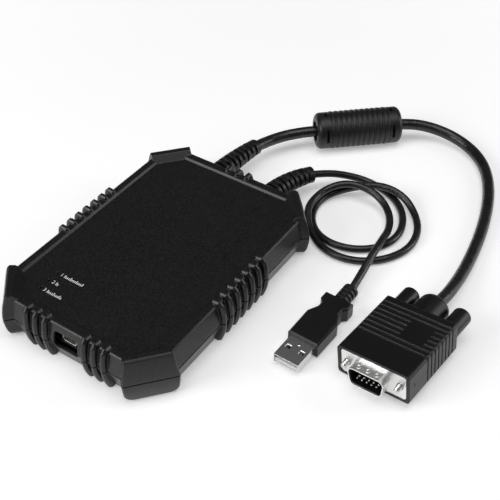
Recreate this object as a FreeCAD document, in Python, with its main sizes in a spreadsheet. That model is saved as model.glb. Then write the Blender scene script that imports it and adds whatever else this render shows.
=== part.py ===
import FreeCAD, Part
import Sketcher
import math
import os
from types import SimpleNamespace

Vector = FreeCAD.Vector
doc = FreeCAD.newDocument("crash_cart_adapter")

# Driving sizes, in millimetres and degrees
SIZES = dict(
    # case: half sizes are those of the wall at the parting line
    case_half_width=45.4,
    case_half_length=64.5,
    parting_height=11.2,
    base_height=0.8,
    rim_height=21.1,
    panel_height=20.0,
    panel_thick=2.0,
    wall=2.0,
    upper_draft=13.1,
    lower_draft=17.0,
    corner_cut_x=15.1,
    corner_cut_y=16.1,
    rim_side=6.8,
    rim_end=7.3,
    panel_cut_x=9.2,
    panel_cut_y=10.6,
    recess_share=0.7,
    recess_splay=42.0,
    rim_edge=0.6,
    base_edge=0.9,
    seam_gap=0.6,
    seam_land=1.0,
    # corner bumper: reaches are measured outward from the panel's cut corner
    bumper_height=23.0,
    bumper_bevel=3.3,
    bumper_top_reach=6.6,
    bumper_foot_reach=7.2,
    bumper_bulge=29.9,
    bumper_root=1.0,
    bumper_inner_half=11.2,
    bumper_slide=0.9,
    bumper_splay=5.7,
    bumper_end_draft=8.5,
    bumper_foot_draft=4.0,
    bumper_corner=4.5,
    bumper_edge=0.7,
    # rib: reaches are measured from the wall at the parting line
    rib_width=2.8,
    rib_root=6.5,
    rib_crest_in=5.0,
    rib_crest_rise=1.4,
    rib_brow_in=1.5,
    rib_brow_rise=1.8,
    rib_shoulder_out=0.3,
    rib_shoulder_drop=0.2,
    rib_bulge=30.0,
    rib_foot_out=-1.1,
    rib_foot_in=4.6,
    rib_edge=0.9,
    side_rib_pitch=5.4,
    front_rib_start=10.6,
    front_rib_pitch=5.15,
    # openings of the case
    port_width=13.0,
    port_height=9.0,
    port_centre=13.0,
    port_round=2.0,
    lamp_x=26.1,
    lamp_front=25.8,
    lamp_pitch=5.4,
    lamp_radius=0.6,
    # case screws
    screw_x=34.0,
    screw_y=38.0,
    screw_radius=1.25,
    screw_head_radius=2.4,
    screw_head=1.6,
    screw_seat=4.4,
    screw_tip=17.0,
    screw_play=0.2,
    pillar_radius=3.2,
    boss_radius=3.8,
    # circuit board and what it carries
    board_drop=1.2,
    board_thick=1.6,
    board_gap=1.2,
    board_rear=43.0,
    board_hole=1.6,
    chip_side=14.0,
    chip_height=1.4,
    memory_length=18.4,
    memory_width=10.2,
    memory_height=1.2,
    bridge_side=9.0,
    crystal_length=11.0,
    crystal_width=4.6,
    crystal_height=3.6,
    capacitor_radius=3.15,
    capacitor_height=4.6,
    led_length=1.6,
    led_width=0.8,
    led_height=0.8,
    pipe_seat_radius=1.5,
    pipe_seat=1.5,
    pipe_play=0.05,
    pipe_inset=0.4,
    header_length=16.0,
    header_width=5.0,
    header_height=4.8,
    # mini USB socket
    socket_width=7.7,
    socket_height=3.9,
    socket_foot_width=5.6,
    socket_skirt=2.0,
    socket_depth=9.2,
    socket_wall=0.35,
    socket_setback=3.2,
    socket_tongue_width=4.8,
    socket_tongue_height=0.9,
    socket_contact=0.3,
    socket_contact_thick=0.12,
    socket_contact_pitch=0.8,
    # strain reliefs in the back wall
    boot_x=15.5,
    boot_z=11.5,
    vga_boot_length=32.4,
    usb_boot_length=30.2,
    boot_hole=5.0,
    boot_play=0.05,
    boot_stand=0.25,
    boot_flange_radius=6.0,
    boot_flange=2.0,
    boot_flange_gap=2.2,
    boot_core=3.3,
    boot_root_radius=5.6,
    boot_tip_radius=4.2,
    boot_ring=1.9,
    boot_web=2.6,
    boot_web_inset=0.4,
    boot_collar=3.0,
    vga_bend=8.0,
    vga_tilt=40.0,
    usb_bend=28.0,
    usb_tilt=17.0,
    # cables
    vga_cable_diameter=5.9,
    usb_cable_diameter=3.7,
    # clip-on ferrite
    ferrite_length=46.0,
    ferrite_radius=9.7,
    ferrite_edge=2.8,
    ferrite_groove=0.35,
    ferrite_groove_width=0.7,
    ferrite_groove_pitch=2.85,
    ferrite_mouth=1.2,
    ferrite_mouth_radius=5.4,
    ferrite_x=21.95,
    ferrite_y=142.75,
    ferrite_turn=42.2,
    ferrite_roll=25.0,
    ferrite_rest=0.05,
    ferrite_wall=1.5,
    ferrite_end_wall=3.0,
    ferrite_play=0.1,
    latch_in=5.2,
    latch_width=1.5,
    latch_length=7.4,
    latch_notch=3.6,
    latch_depth=0.8,
    latch_turn=37.0,
    notch_turn=118.0,
    # video plug, in its own frame: Y runs back along the cable
    hood_width=34.3,
    hood_height=14.9,
    hood_length=37.0,
    hood_round=1.6,
    hood_groove=0.55,
    hood_groove_width=0.9,
    hood_groove_start=13.2,
    hood_groove_pitch=2.8,
    hood_field_left=0.5,
    hood_field_width=11.5,
    hood_field_start=17.0,
    hood_field_length=12.6,
    hood_boot_radius=7.2,
    hood_boot=13.2,
    hood_boot_round=3.0,
    flange_width=30.8,
    flange_height=12.5,
    flange_thick=0.8,
    flange_inset=0.25,
    flange_play=0.2,
    flange_round=1.5,
    d_width=17.92,
    d_height=9.36,
    d_slope=10.0,
    d_depth=5.9,
    d_round=2.8,
    d_wall=0.5,
    insulator_depth=8.0,
    insulator_play=0.05,
    pin_radius=0.42,
    pin_reach=3.2,
    pin_tail=2.5,
    pin_pitch=2.29,
    pin_row=1.98,
    jack_spacing=24.99,
    jack_radius=1.42,
    jack_reach=3.0,
    jack_play=0.08,
    jack_relief=1.6,
    jack_relief_radius=1.15,
    jack_grip=7.0,
    knob_radius=4.2,
    knob_length=13.3,
    knob_edge=1.1,
    knob_gap=0.3,
    vga_plug_x=110.65,
    vga_plug_y=-4.61,
    vga_plug_z=9.33,
    vga_plug_turn=-5.21,
    vga_plug_roll=-7.0,
    # USB plug, in its own frame: Y runs back along the cable
    body_height=8.0,
    body_front_half=7.45,
    body_shoulder_half=7.7,
    body_shoulder=15.5,
    body_waist_half=5.2,
    body_waist=20.5,
    body_waist_end=23.5,
    body_ear_half=7.0,
    body_ear=25.3,
    body_ear_end=29.8,
    body_edge=0.7,
    body_ring_radius=3.7,
    body_ring=1.5,
    body_ring_gap=1.0,
    body_core=2.9,
    body_boot=10.8,
    plug_width=12.0,
    plug_height=4.5,
    plug_reach=12.8,
    plug_seat=4.0,
    plug_wall=0.3,
    plug_window=2.4,
    plug_window_x=3.3,
    plug_window_back=5.9,
    tongue_height=1.84,
    tongue_inset=0.4,
    contact_width=1.1,
    contact_thick=0.15,
    contact_pitch=2.3,
    contact_length=8.0,
    usb_plug_x=76.45,
    usb_plug_y=-2.5,
    usb_plug_z=4.0,
    usb_plug_turn=-1.66,
)

LONG_SIDE_RIBS = 7
FRONT_RIBS = 3
BACK_RIBS = 3
LAMPS = 3
BOOT_RINGS = 8
FERRITE_GROOVES = 12
HOOD_GROOVES = 8
PIN_COLUMNS = 5
PIN_ROWS = 3
USB_CONTACTS = 4
SOCKET_CONTACTS = 5
PLUG_RINGS = 4

# Cable routes: centre line between the boot and the plug, chosen point by point
VGA_ROUTE_TO_FERRITE = [(-11.7, 106.0, 9.1), (-7.7, 114.0, 9.1), (-1.9, 121.2, 9.4)]
VGA_ROUTE_TO_PLUG = [
    (47.1, 164.8, 8.8), (56.2, 169.0, 7.0), (66.3, 170.2, 5.2),
    (76.4, 168.0, 3.8), (85.3, 162.5, 3.1), (92.4, 154.4, 3.0),
    (98.0, 144.8, 3.0), (102.4, 134.4, 3.0), (106.0, 123.4, 3.0),
    (109.0, 112.0, 3.0), (111.3, 100.2, 3.0), (113.1, 88.4, 3.2),
    (114.5, 77.0, 4.3), (115.5, 66.0, 6.2), (116.0, 54.6, 8.2),
]
USB_ROUTE = [
    # from the boot, round the inner turn
    (27.6, 100.4, 8.4), (34.8, 106.6, 6.4), (43.2, 111.4, 4.0),
    (52.6, 112.4, 2.2), (61.6, 109.6, 1.9), (69.4, 103.4, 1.9),
    (74.8, 95.0, 1.9), (77.4, 85.4, 1.9), (75.9, 76.0, 1.9),
    (70.4, 68.0, 1.9), (62.0, 62.9, 1.9), (52.2, 61.5, 1.9),
    (43.4, 64.4, 1.9), (36.8, 70.9, 1.9), (33.0, 79.4, 1.9),
    # over the first stretch and round the outer turn
    (32.6, 88.4, 2.3), (36.6, 96.4, 3.2), (43.6, 103.0, 4.8),
    (51.8, 107.4, 6.8), (60.6, 108.8, 7.2), (69.2, 108.4, 4.9),
    (76.6, 103.8, 2.1), (82.0, 96.6, 1.9), (85.2, 88.0, 1.9),
    (85.6, 78.8, 1.9), (82.6, 70.2, 1.9), (76.8, 62.6, 1.9),
    (68.6, 57.0, 1.9), (59.4, 55.3, 1.9), (50.4, 57.0, 1.9),
    (43.2, 61.6, 2.1), (37.0, 67.0, 3.6), (32.5, 74.2, 5.7),
    # over the second stretch, across both turns and home to the plug
    (31.5, 82.6, 5.9), (33.2, 91.0, 6.8), (39.2, 97.8, 8.6),
    (47.4, 100.8, 8.6), (56.0, 100.8, 7.2), (63.8, 97.4, 5.2),
    (69.4, 91.2, 4.0), (72.6, 83.0, 4.0), (74.0, 74.4, 6.0),
    (75.2, 66.2, 7.2), (76.0, 58.0, 7.0), (76.7, 49.6, 5.2),
]


class Size:
    """A length or angle: its value, and the expression that gives it."""

    def __init__(self, value, text):
        self.value = value
        self.text = text

    def __add__(self, other):
        return Size(self.value + value_of(other), "(%s + %s)" % (self.text, text_of(other)))

    def __sub__(self, other):
        return Size(self.value - value_of(other), "(%s - %s)" % (self.text, text_of(other)))

    def __mul__(self, other):
        return Size(self.value * value_of(other), "(%s * %s)" % (self.text, text_of(other)))

    def __truediv__(self, other):
        return Size(self.value / value_of(other), "(%s / %s)" % (self.text, text_of(other)))

    def __neg__(self):
        return Size(-self.value, "(-1 * %s)" % self.text)


def value_of(item):
    return item.value if isinstance(item, Size) else item


def text_of(item):
    return item.text if isinstance(item, Size) else repr(float(item))


sheet = doc.addObject("Spreadsheet::Sheet", "sizes")
for row, (name, number) in enumerate(SIZES.items(), start=1):
    sheet.set("A%d" % row, name)
    sheet.set("B%d" % row, str(number))
    sheet.setAlias("B%d" % row, name)
doc.recompute()
S = SimpleNamespace(**{name: Size(number, "sizes." + name) for name, number in SIZES.items()})

nodes = []


def node(label, piece):
    """Keeps a finished piece for export under its own name."""
    piece.Label = label
    nodes.append(piece)
    return piece


def bind(item, prop, size):
    if isinstance(size, Size):
        item.setExpression(prop, size.text)
    else:
        item.setExpression(prop, repr(float(size)))


def place(item, x=0, y=0, z=0):
    """Binds the position of a piece, axis by axis."""
    for axis, size in zip("xyz", (x, y, z)):
        if isinstance(size, Size) or size:
            bind(item, "Placement.Base." + axis, size)
    return item


def block(name, length, width, height):
    item = doc.addObject("Part::Box", name)
    bind(item, "Length", length)
    bind(item, "Width", width)
    bind(item, "Height", height)
    return item


def box(name, length, width, height, x=0, y=0, z=0):
    """A block that is centred on x and y and stands on z."""
    return place(block(name, length, width, height), length * -0.5 + x, width * -0.5 + y, z)


TURN_TO = dict(
    x=FreeCAD.Rotation(Vector(0, 1, 0), 90),
    y=FreeCAD.Rotation(Vector(1, 0, 0), -90),
    z=FreeCAD.Rotation(),
)


def rod(name, radius, length, axis, x=0, y=0, z=0, end_radius=None):
    """A cylinder, or a cone where it has an end radius, that starts at x, y, z."""
    item = doc.addObject("Part::Cylinder" if end_radius is None else "Part::Cone", name)
    if end_radius is None:
        bind(item, "Radius", radius)
    else:
        bind(item, "Radius1", radius)
        bind(item, "Radius2", end_radius)
    bind(item, "Height", length)
    item.Placement.Rotation = TURN_TO[axis]
    return place(item, x, y, z)


def fuse(name, *items):
    item = doc.addObject("Part::MultiFuse", name)
    item.Shapes = list(items)
    return item


def common(name, first, second):
    item = doc.addObject("Part::Common", name)
    item.Base = first
    item.Tool = second
    return item


def cut(name, base, *tools):
    item = doc.addObject("Part::Cut", name)
    item.Base = base
    item.Tool = tools[0] if len(tools) == 1 else fuse(name + "_tools", *tools)
    return item


def group(name, *items):
    item = doc.addObject("Part::Compound", name)
    item.Links = list(items)
    return item


def copy_at(name, source, placement):
    item = doc.addObject("App::Link", name)
    item.LinkedObject = source
    item.Placement = placement
    return item


def at(x, y, z, turn=0.0):
    """A place in the frame, turned about the vertical."""
    spin = FreeCAD.Rotation(Vector(0, 0, 1), turn)
    return FreeCAD.Placement(Vector(value_of(x), value_of(y), value_of(z)), spin)


def new_body(name):
    return doc.addObject("PartDesign::Body", name)


def outline(body, name, plane, corners, lift=0, bulge=None):
    """A closed sketch through bound corners. bulge = (side, radius) makes one side an arc."""
    sketch = body.newObject("Sketcher::SketchObject", name)
    base = [item for item in body.Origin.OriginFeatures if item.Role == plane + "_Plane"][0]
    sketch.AttachmentSupport = [(base, "")]
    sketch.MapMode = "FlatFace"
    if isinstance(lift, Size) or lift:
        bind(sketch, "AttachmentOffset.Base.z", lift)
    points = [Vector(value_of(x), value_of(y), 0) for x, y in corners]
    count = len(points)
    ends = []
    for side in range(count):
        start, end = points[side], points[(side + 1) % count]
        if bulge and bulge[0] == side:
            sketch.addGeometry(arc_between(end, start, bulge[1].value), False)
            ends.append((2, 1))
        else:
            sketch.addGeometry(Part.LineSegment(start, end), False)
            ends.append((1, 2))
    for side in range(count):
        after = (side + 1) % count
        sketch.addConstraint(
            Sketcher.Constraint("Coincident", side, ends[side][1], after, ends[after][0]))
    for side, (x, y) in enumerate(corners):
        for kind, size, axis in (("DistanceX", x, -2), ("DistanceY", y, -1)):
            hold = ends[side][0]
            if value_of(size) == 0:
                sketch.addConstraint(Sketcher.Constraint("PointOnObject", side, hold, axis))
                continue
            index = sketch.addConstraint(
                Sketcher.Constraint(kind, -1, 1, side, hold, value_of(size)))
            bind(sketch, "Constraints[%d]" % index, size)
    if bulge:
        index = sketch.addConstraint(
            Sketcher.Constraint("Radius", bulge[0], bulge[1].value))
        bind(sketch, "Constraints[%d]" % index, bulge[1])
    return sketch


def arc_between(start, end, radius):
    """The shorter arc, anticlockwise from start to end."""
    chord = end - start
    middle = (start + end) * 0.5
    left = Vector(-chord.y, chord.x, 0).normalize()
    centre = middle + left * math.sqrt(radius ** 2 - (chord.Length / 2) ** 2)
    first = math.atan2(start.y - centre.y, start.x - centre.x)
    last = math.atan2(end.y - centre.y, end.x - centre.x)
    return Part.ArcOfCircle(Part.Circle(centre, Vector(0, 0, 1), radius), first, last)


def pad(body, name, sketch, length, reverse=False, both=False, taper=None):
    item = body.newObject("PartDesign::Pad", name)
    item.Profile = sketch
    bind(item, "Length", length)
    item.Reversed = reverse
    if both:
        item.SideType = "Symmetric"
    if taper is not None:
        bind(item, "TaperAngle", taper)
    return item


def pocket(body, name, sketch, depth, reverse=False):
    item = body.newObject("PartDesign::Pocket", name)
    item.Profile = sketch
    bind(item, "Length", depth)
    item.Reversed = reverse
    return item


def edge_names(shape, wanted):
    return ["Edge%d" % number for number, edge in enumerate(shape.Edges, start=1) if wanted(edge)]


def round_off(body, name, base, radius, wanted, kind="Fillet"):
    """Rounds, or bevels, those edges of a feature that the test picks."""
    doc.recompute()
    item = body.newObject("PartDesign::" + kind, name)
    item.Base = (base, edge_names(base.Shape, wanted))
    bind(item, "Radius" if kind == "Fillet" else "Size", radius)
    return item


def bevel(name, base, size, wanted, kind="Chamfer"):
    """Bevels, or rounds, those edges of a finished solid that the test picks."""
    doc.recompute()
    item = doc.addObject("Part::" + kind, name)
    item.Base = base
    item.Edges = [(number, size.value, size.value)
                  for number, edge in enumerate(base.Shape.Edges, start=1) if wanted(edge)]
    return item


def runs_along(edge, axis):
    """True for an edge whose ends differ along one axis only."""
    span = edge.BoundBox
    sizes = dict(x=span.XLength, y=span.YLength, z=span.ZLength)
    return all((sizes[key] > 0.01) == (key == axis) for key in "xyz")


def octagon(half_x, half_y, cut_x, cut_y):
    """A rectangle's outline with its four corners cut off."""
    return [
        (half_x, -(half_y - cut_y)), (half_x, half_y - cut_y),
        (half_x - cut_x, half_y), (-(half_x - cut_x), half_y),
        (-half_x, half_y - cut_y), (-half_x, -(half_y - cut_y)),
        (-(half_x - cut_x), -half_y), (half_x - cut_x, -half_y),
    ]


def rectangle(half_x, half_y, centre_y=0):
    return [
        (half_x, -half_y + centre_y), (half_x, half_y + centre_y),
        (-half_x, half_y + centre_y), (-half_x, -half_y + centre_y),
    ]


# Case form: both halves of the moulding as one solid, before it is parted and hollowed

def case_half(name, inset, top, draft, edge_cut, upper):
    """A drafted octagon that stands on the parting plane, or hangs below it."""
    body = new_body(name)
    height = top - S.parting_height if upper else S.parting_height - top
    corners = octagon(S.case_half_width - inset, S.case_half_length - inset,
                      S.corner_cut_x, S.corner_cut_y)
    sketch = outline(body, name + "_outline", "XY", corners, lift=S.parting_height)
    solid = pad(body, name + "_pad", sketch, height, reverse=not upper, taper=-draft)
    if edge_cut:
        def far_edge(edge):
            return abs(edge.CenterOfMass.z - top.value) < 0.01
        round_off(body, name + "_edge", solid, edge_cut, far_edge, kind="Chamfer")
    return body


upper_form = case_half("upper_form", 0, S.rim_height, S.upper_draft, S.rim_edge, True)
lower_form = case_half("lower_form", 0, S.base_height, S.lower_draft, S.base_edge, False)

# The panel lies below the rim. Its cut corners run on under the bumpers.
recess = new_body("panel_recess")
recess_outline = outline(
    recess, "recess_outline", "XY",
    octagon(S.case_half_width - S.rim_side, S.case_half_length - S.rim_end,
            S.panel_cut_x * S.recess_share, S.panel_cut_y * S.recess_share),
    lift=S.panel_height)
pad(recess, "recess_pad", recess_outline, S.rim_height - S.panel_height + S.rim_edge,
    taper=S.recess_splay)
panel_form = cut("panel_form", upper_form, recess)


def bumper():
    """Corner bumper: a bulging section along the diagonal, kept between splayed, drafted ends."""
    section = new_body("bumper_section")
    profile = outline(section, "bumper_profile", "XZ", [
        (0, S.panel_height),
        (S.bumper_bevel, S.bumper_height),
        (S.bumper_top_reach, S.bumper_height),
        (S.bumper_foot_reach, 0),
        (-S.bumper_root, 0),
        (-S.bumper_root, S.panel_height - S.bumper_root),
    ], bulge=(2, S.bumper_bulge))
    pad(section, "bumper_bar", profile, S.bumper_inner_half * 4, both=True)

    ends = new_body("bumper_ends")
    slope = math.tan(math.radians(S.bumper_splay.value))
    near, far = -S.bumper_root * 3, S.bumper_foot_reach * 2
    plan = [
        (near, -(S.bumper_inner_half + near * slope)), (far, -(S.bumper_inner_half + far * slope)),
        (far, S.bumper_inner_half + far * slope), (near, S.bumper_inner_half + near * slope),
    ]
    rising = outline(ends, "bumper_plan", "XY", plan, lift=S.parting_height)
    pad(ends, "bumper_rise", rising, S.bumper_height - S.parting_height,
        taper=-S.bumper_end_draft)
    falling = outline(ends, "bumper_plan_below", "XY", plan, lift=S.parting_height)
    drop = pad(ends, "bumper_drop", falling, S.parting_height, reverse=True,
               taper=-S.bumper_foot_draft)

    def lower_end(edge):
        span = edge.BoundBox
        return span.ZMax < 0.01 and span.XLength > 1.0
    round_off(ends, "bumper_corner_round", drop, S.bumper_corner, lower_end)

    form = common("bumper_form", section, ends)
    doc.recompute()

    def outer_edge(edge):
        middle = edge.valueAt((edge.FirstParameter + edge.LastParameter) / 2)
        on_face = middle.x > S.bumper_top_reach.value - 0.05
        parting = abs(middle.z - S.parting_height.value) < 0.01
        return on_face and not (parting and runs_along(edge, "y"))
    return bevel("bumper", form, S.bumper_edge, outer_edge)


def rib():
    """Grip rib: from the panel's edge over the rim, then down the wall in one bulging arc."""
    body = new_body("rib")
    profile = outline(body, "rib_profile", "XZ", [
        (-S.rib_root, S.panel_height),
        (-S.rib_crest_in, S.rim_height + S.rib_crest_rise),
        (-S.rib_brow_in, S.rim_height + S.rib_brow_rise),
        (S.rib_shoulder_out, S.rim_height - S.rib_shoulder_drop),
        (S.rib_foot_out, 0),
        (-S.rib_foot_in, 0),
    ], bulge=(3, S.rib_bulge))
    bar = pad(body, "rib_bar", profile, S.rib_width, both=True)

    def crest(edge):
        middle = edge.valueAt((edge.FirstParameter + edge.LastParameter) / 2)
        beside = abs(abs(middle.y) - S.rib_width.value / 2) < 0.01
        return beside and (middle.z > S.panel_height.value or middle.x > S.rib_foot_out.value)
    round_off(body, "rib_crest", bar, S.rib_edge, crest, kind="Chamfer")
    return body


bumper_solid = bumper()
rib_solid = rib()

bumper_turn = math.degrees(math.atan2(S.panel_cut_x.value, S.panel_cut_y.value))
slide_x = S.bumper_slide * math.sin(math.radians(bumper_turn))
slide_y = S.bumper_slide * math.cos(math.radians(bumper_turn))
bumper_x = S.case_half_width - S.rim_side - S.panel_cut_x / 2 - slide_x
bumper_y = S.case_half_length - S.rim_end - S.panel_cut_y / 2 + slide_y
case_parts = [panel_form, lower_form]
for side_x, side_y, turn in ((1, 1, bumper_turn), (-1, 1, 180 - bumper_turn),
                             (-1, -1, 180 + bumper_turn), (1, -1, -bumper_turn)):
    number = len(case_parts) - 1
    case_parts.append(copy_at("bumper_%d" % number, bumper_solid,
                              at(bumper_x * side_x, bumper_y * side_y, 0, turn)))

rib_places = []
for number in range(LONG_SIDE_RIBS):
    along = S.side_rib_pitch * (number - (LONG_SIDE_RIBS - 1) / 2)
    rib_places.append(at(S.case_half_width, along, 0, 0))
    rib_places.append(at(-S.case_half_width, along, 0, 180))
for number in range(FRONT_RIBS):
    across = S.front_rib_start + S.front_rib_pitch * number
    rib_places.append(at(across, -S.case_half_length, 0, -90))
    rib_places.append(at(-across, -S.case_half_length, 0, -90))
for number in range(BACK_RIBS):
    across = S.side_rib_pitch * (number - (BACK_RIBS - 1) / 2)
    rib_places.append(at(across, S.case_half_length, 0, 90))
for number, where in enumerate(rib_places, start=1):
    case_parts.append(copy_at("rib_%d" % number, rib_solid, where))
case_form = fuse("case_form", *case_parts)

# Openings that both halves of the case share: port window and boot holes

port = new_body("port_window")
port_outline = outline(port, "port_outline", "XZ",
                       rectangle(S.port_width / 2, S.port_height / 2, S.port_centre),
                       lift=S.case_half_length - S.wall * 2)
port_block = pad(port, "port_block", port_outline, S.wall * 4)
round_off(port, "port_round", port_block, S.port_round, lambda edge: runs_along(edge, "y"))

boot_hole_y = S.case_half_length - S.wall * 2
boot_holes = [rod("boot_hole_%d" % number, S.boot_hole, S.wall * 4, "y",
                  S.boot_x * side, boot_hole_y, S.boot_z)
              for number, side in enumerate((-1, 1), start=1)]

board_bottom = S.parting_height - S.board_drop
board_top = board_bottom + S.board_thick
ceiling = S.panel_height - S.panel_thick
screw_places = [(S.screw_x * x, S.screw_y * y) for x in (-1, 1) for y in (-1, 1)]
lamp_row = S.lamp_front - S.case_half_length
lamp_places = [(-S.lamp_x, lamp_row - S.lamp_pitch * number) for number in range(LAMPS)]
reach = S.case_half_width * 4

# Top shell: panel, rim, pillars for the screws, lamp holes and the seam groove round its foot

upper_space = box("upper_space", reach, reach, S.bumper_height, 0, 0, S.parting_height)
upper_cavity = case_half("upper_cavity", S.wall, ceiling, S.upper_draft, None, True)
upper_wall = cut("upper_wall", common("upper_part", case_form, upper_space), upper_cavity)
pillars = [rod("pillar_%d" % number, S.pillar_radius, ceiling - board_top + S.wall / 2, "z",
               x, y, board_top)
           for number, (x, y) in enumerate(screw_places, start=1)]
pilot_depth = S.screw_tip - board_top + S.wall / 2
pilot_holes = [rod("pilot_%d" % number, S.screw_radius + S.boot_play, pilot_depth, "z",
                   x, y, board_top - S.wall / 4)
               for number, (x, y) in enumerate(screw_places, start=1)]
lamp_holes = [rod("lamp_hole_%d" % number, S.lamp_radius, S.panel_thick * 3, "z",
                  x, y, ceiling - S.panel_thick)
              for number, (x, y) in enumerate(lamp_places, start=1)]
seam_inner = new_body("seam_inner")
seam_outline = outline(seam_inner, "seam_outline", "XY",
                       octagon(S.case_half_width - S.seam_land, S.case_half_length - S.seam_land,
                               S.corner_cut_x, S.corner_cut_y), lift=S.parting_height)
pad(seam_inner, "seam_block", seam_outline, S.seam_gap)
seam_slab = box("seam_slab", reach, reach, S.seam_gap, 0, 0, S.parting_height)
seam = cut("seam", seam_slab, seam_inner)
top_shell = node("top_shell", cut(
    "top_shell", fuse("upper_moulding", upper_wall, *pillars),
    seam, port, *boot_holes, *pilot_holes, *lamp_holes))

# Bottom shell: floor, drafted walls, screw bosses with counterbores from below

lower_space = box("lower_space", reach, reach, S.parting_height * 2, 0, 0, -S.parting_height)
lower_cavity = case_half("lower_cavity", S.wall, S.base_height + S.wall, S.lower_draft, None, False)
lower_wall = cut("lower_wall", common("lower_part", case_form, lower_space), lower_cavity)
bosses = [rod("boss_%d" % number, S.boss_radius, board_bottom - S.base_height - S.wall / 2, "z",
              x, y, S.base_height + S.wall / 2)
          for number, (x, y) in enumerate(screw_places, start=1)]
screw_holes = [rod("screw_hole_%d" % number, S.screw_radius + S.screw_play, S.parting_height * 2,
                   "z", x, y, 0)
               for number, (x, y) in enumerate(screw_places, start=1)]
screw_wells = [rod("screw_well_%d" % number, S.screw_head_radius + S.screw_play, S.screw_seat,
                   "z", x, y, 0)
               for number, (x, y) in enumerate(screw_places, start=1)]
bottom_shell = node("bottom_shell", cut(
    "bottom_shell", fuse("lower_moulding", lower_wall, *bosses),
    port, *boot_holes, *screw_holes, *screw_wells))

# Case screws: one pattern screw, set four times

screw_head = rod("screw_head", S.screw_head_radius, S.screw_head, "z", 0, 0,
                 S.screw_seat - S.screw_head)
screw_shank = rod("screw_shank", S.screw_radius, S.screw_tip - S.screw_seat, "z", 0, 0, S.screw_seat)
screw = fuse("screw", screw_head, screw_shank)
node("case_screws", group("case_screws", *[
    copy_at("screw_%d" % number, screw, at(x, y, 0))
    for number, (x, y) in enumerate(screw_places, start=1)]))

# Circuit board: stands on the bosses, its front corners cut like the case

board = new_body("board")
board_half = S.case_half_width - S.wall - S.board_gap
board_front = S.case_half_length - S.wall - S.board_gap
board_outline = outline(board, "board_outline", "XY", [
    (board_half, -(board_front - S.corner_cut_y)), (board_half, S.board_rear),
    (-board_half, S.board_rear), (-board_half, -(board_front - S.corner_cut_y)),
    (-(board_half - S.corner_cut_x), -board_front), (board_half - S.corner_cut_x, -board_front),
], lift=board_bottom)
pad(board, "board_pad", board_outline, S.board_thick)
node("circuit_board", cut("circuit_board", board, *[
    rod("board_hole_%d" % number, S.board_hole, S.board_thick * 2, "z",
        x, y, board_bottom - S.board_thick / 2)
    for number, (x, y) in enumerate(screw_places, start=1)]))

# Components on the board, hidden in the case
node("main_chip", box("main_chip", S.chip_side, S.chip_side, S.chip_height,
                      S.chip_side / 2, 0, board_top))
node("memory_chip", box("memory_chip", S.memory_length, S.memory_width, S.memory_height,
                        -S.chip_side, 0, board_top))
node("usb_chip", box("usb_chip", S.bridge_side, S.bridge_side, S.chip_height,
                     0, lamp_row, board_top))
node("crystal", box("crystal", S.crystal_length, S.crystal_width, S.crystal_height,
                    S.chip_side * 1.5, -S.chip_side, board_top))
node("capacitors", group("capacitors", *[
    rod("capacitor_%d" % number, S.capacitor_radius, S.capacitor_height, "z",
        S.lamp_x, S.capacitor_radius * 2.5 * number, board_top)
    for number in (0, 1)]))
node("status_leds", group("status_leds", *[
    box("led_%d" % number, S.led_length, S.led_width, S.led_height, x, y, board_top)
    for number, (x, y) in enumerate(lamp_places, start=1)]))


def light_pipe(number, x, y):
    """Clear rod from just over its LED up into the panel, hung by a collar under the panel."""
    foot = board_top + S.led_height + S.pipe_inset
    stem = rod("pipe_stem_%d" % number, S.lamp_radius - S.pipe_play,
               S.panel_height - S.pipe_inset - foot, "z", x, y, foot)
    collar = rod("pipe_collar_%d" % number, S.pipe_seat_radius, S.pipe_seat, "z",
                 x, y, ceiling - S.pipe_seat)
    return fuse("light_pipe_%d" % number, stem, collar)


node("light_pipes", group("light_pipes", *[
    light_pipe(number, x, y) for number, (x, y) in enumerate(lamp_places, start=1)]))

# Wire headers at the board's back edge, and the bundles from them to the boots
header_y = S.board_rear - S.header_width / 2
boot_flange_y = S.case_half_length - S.wall - S.boot_flange_gap
bundle_length = boot_flange_y - S.boot_flange - S.board_rear
for label, side, diameter in (("vga", -1, S.vga_cable_diameter), ("usb", 1, S.usb_cable_diameter)):
    node(label + "_wire_header", box(label + "_wire_header", S.header_length, S.header_width,
                                     S.header_height, S.boot_x * side, header_y, board_top))
    node(label + "_wire_bundle", rod(label + "_wire_bundle", diameter / 2, bundle_length, "y",
                                     S.boot_x * side, S.board_rear, S.boot_z))

# Mini USB socket: folded shell, wide side up, with a tongue and five contacts in its mouth

socket_mouth = S.case_half_length - S.socket_setback
socket_middle = board_top + S.socket_height / 2


def socket_outline(body, name, inset, lift):
    low = -(S.socket_height / 2) + inset
    high = S.socket_height / 2 - inset
    wide = S.socket_width / 2 - inset
    narrow = S.socket_foot_width / 2 - inset
    shoulder = high - S.socket_skirt
    return outline(body, name, "XZ", [
        (narrow, low + socket_middle), (wide, shoulder + socket_middle),
        (wide, high + socket_middle), (-wide, high + socket_middle),
        (-wide, shoulder + socket_middle), (-narrow, low + socket_middle),
    ], lift=lift)


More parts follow.
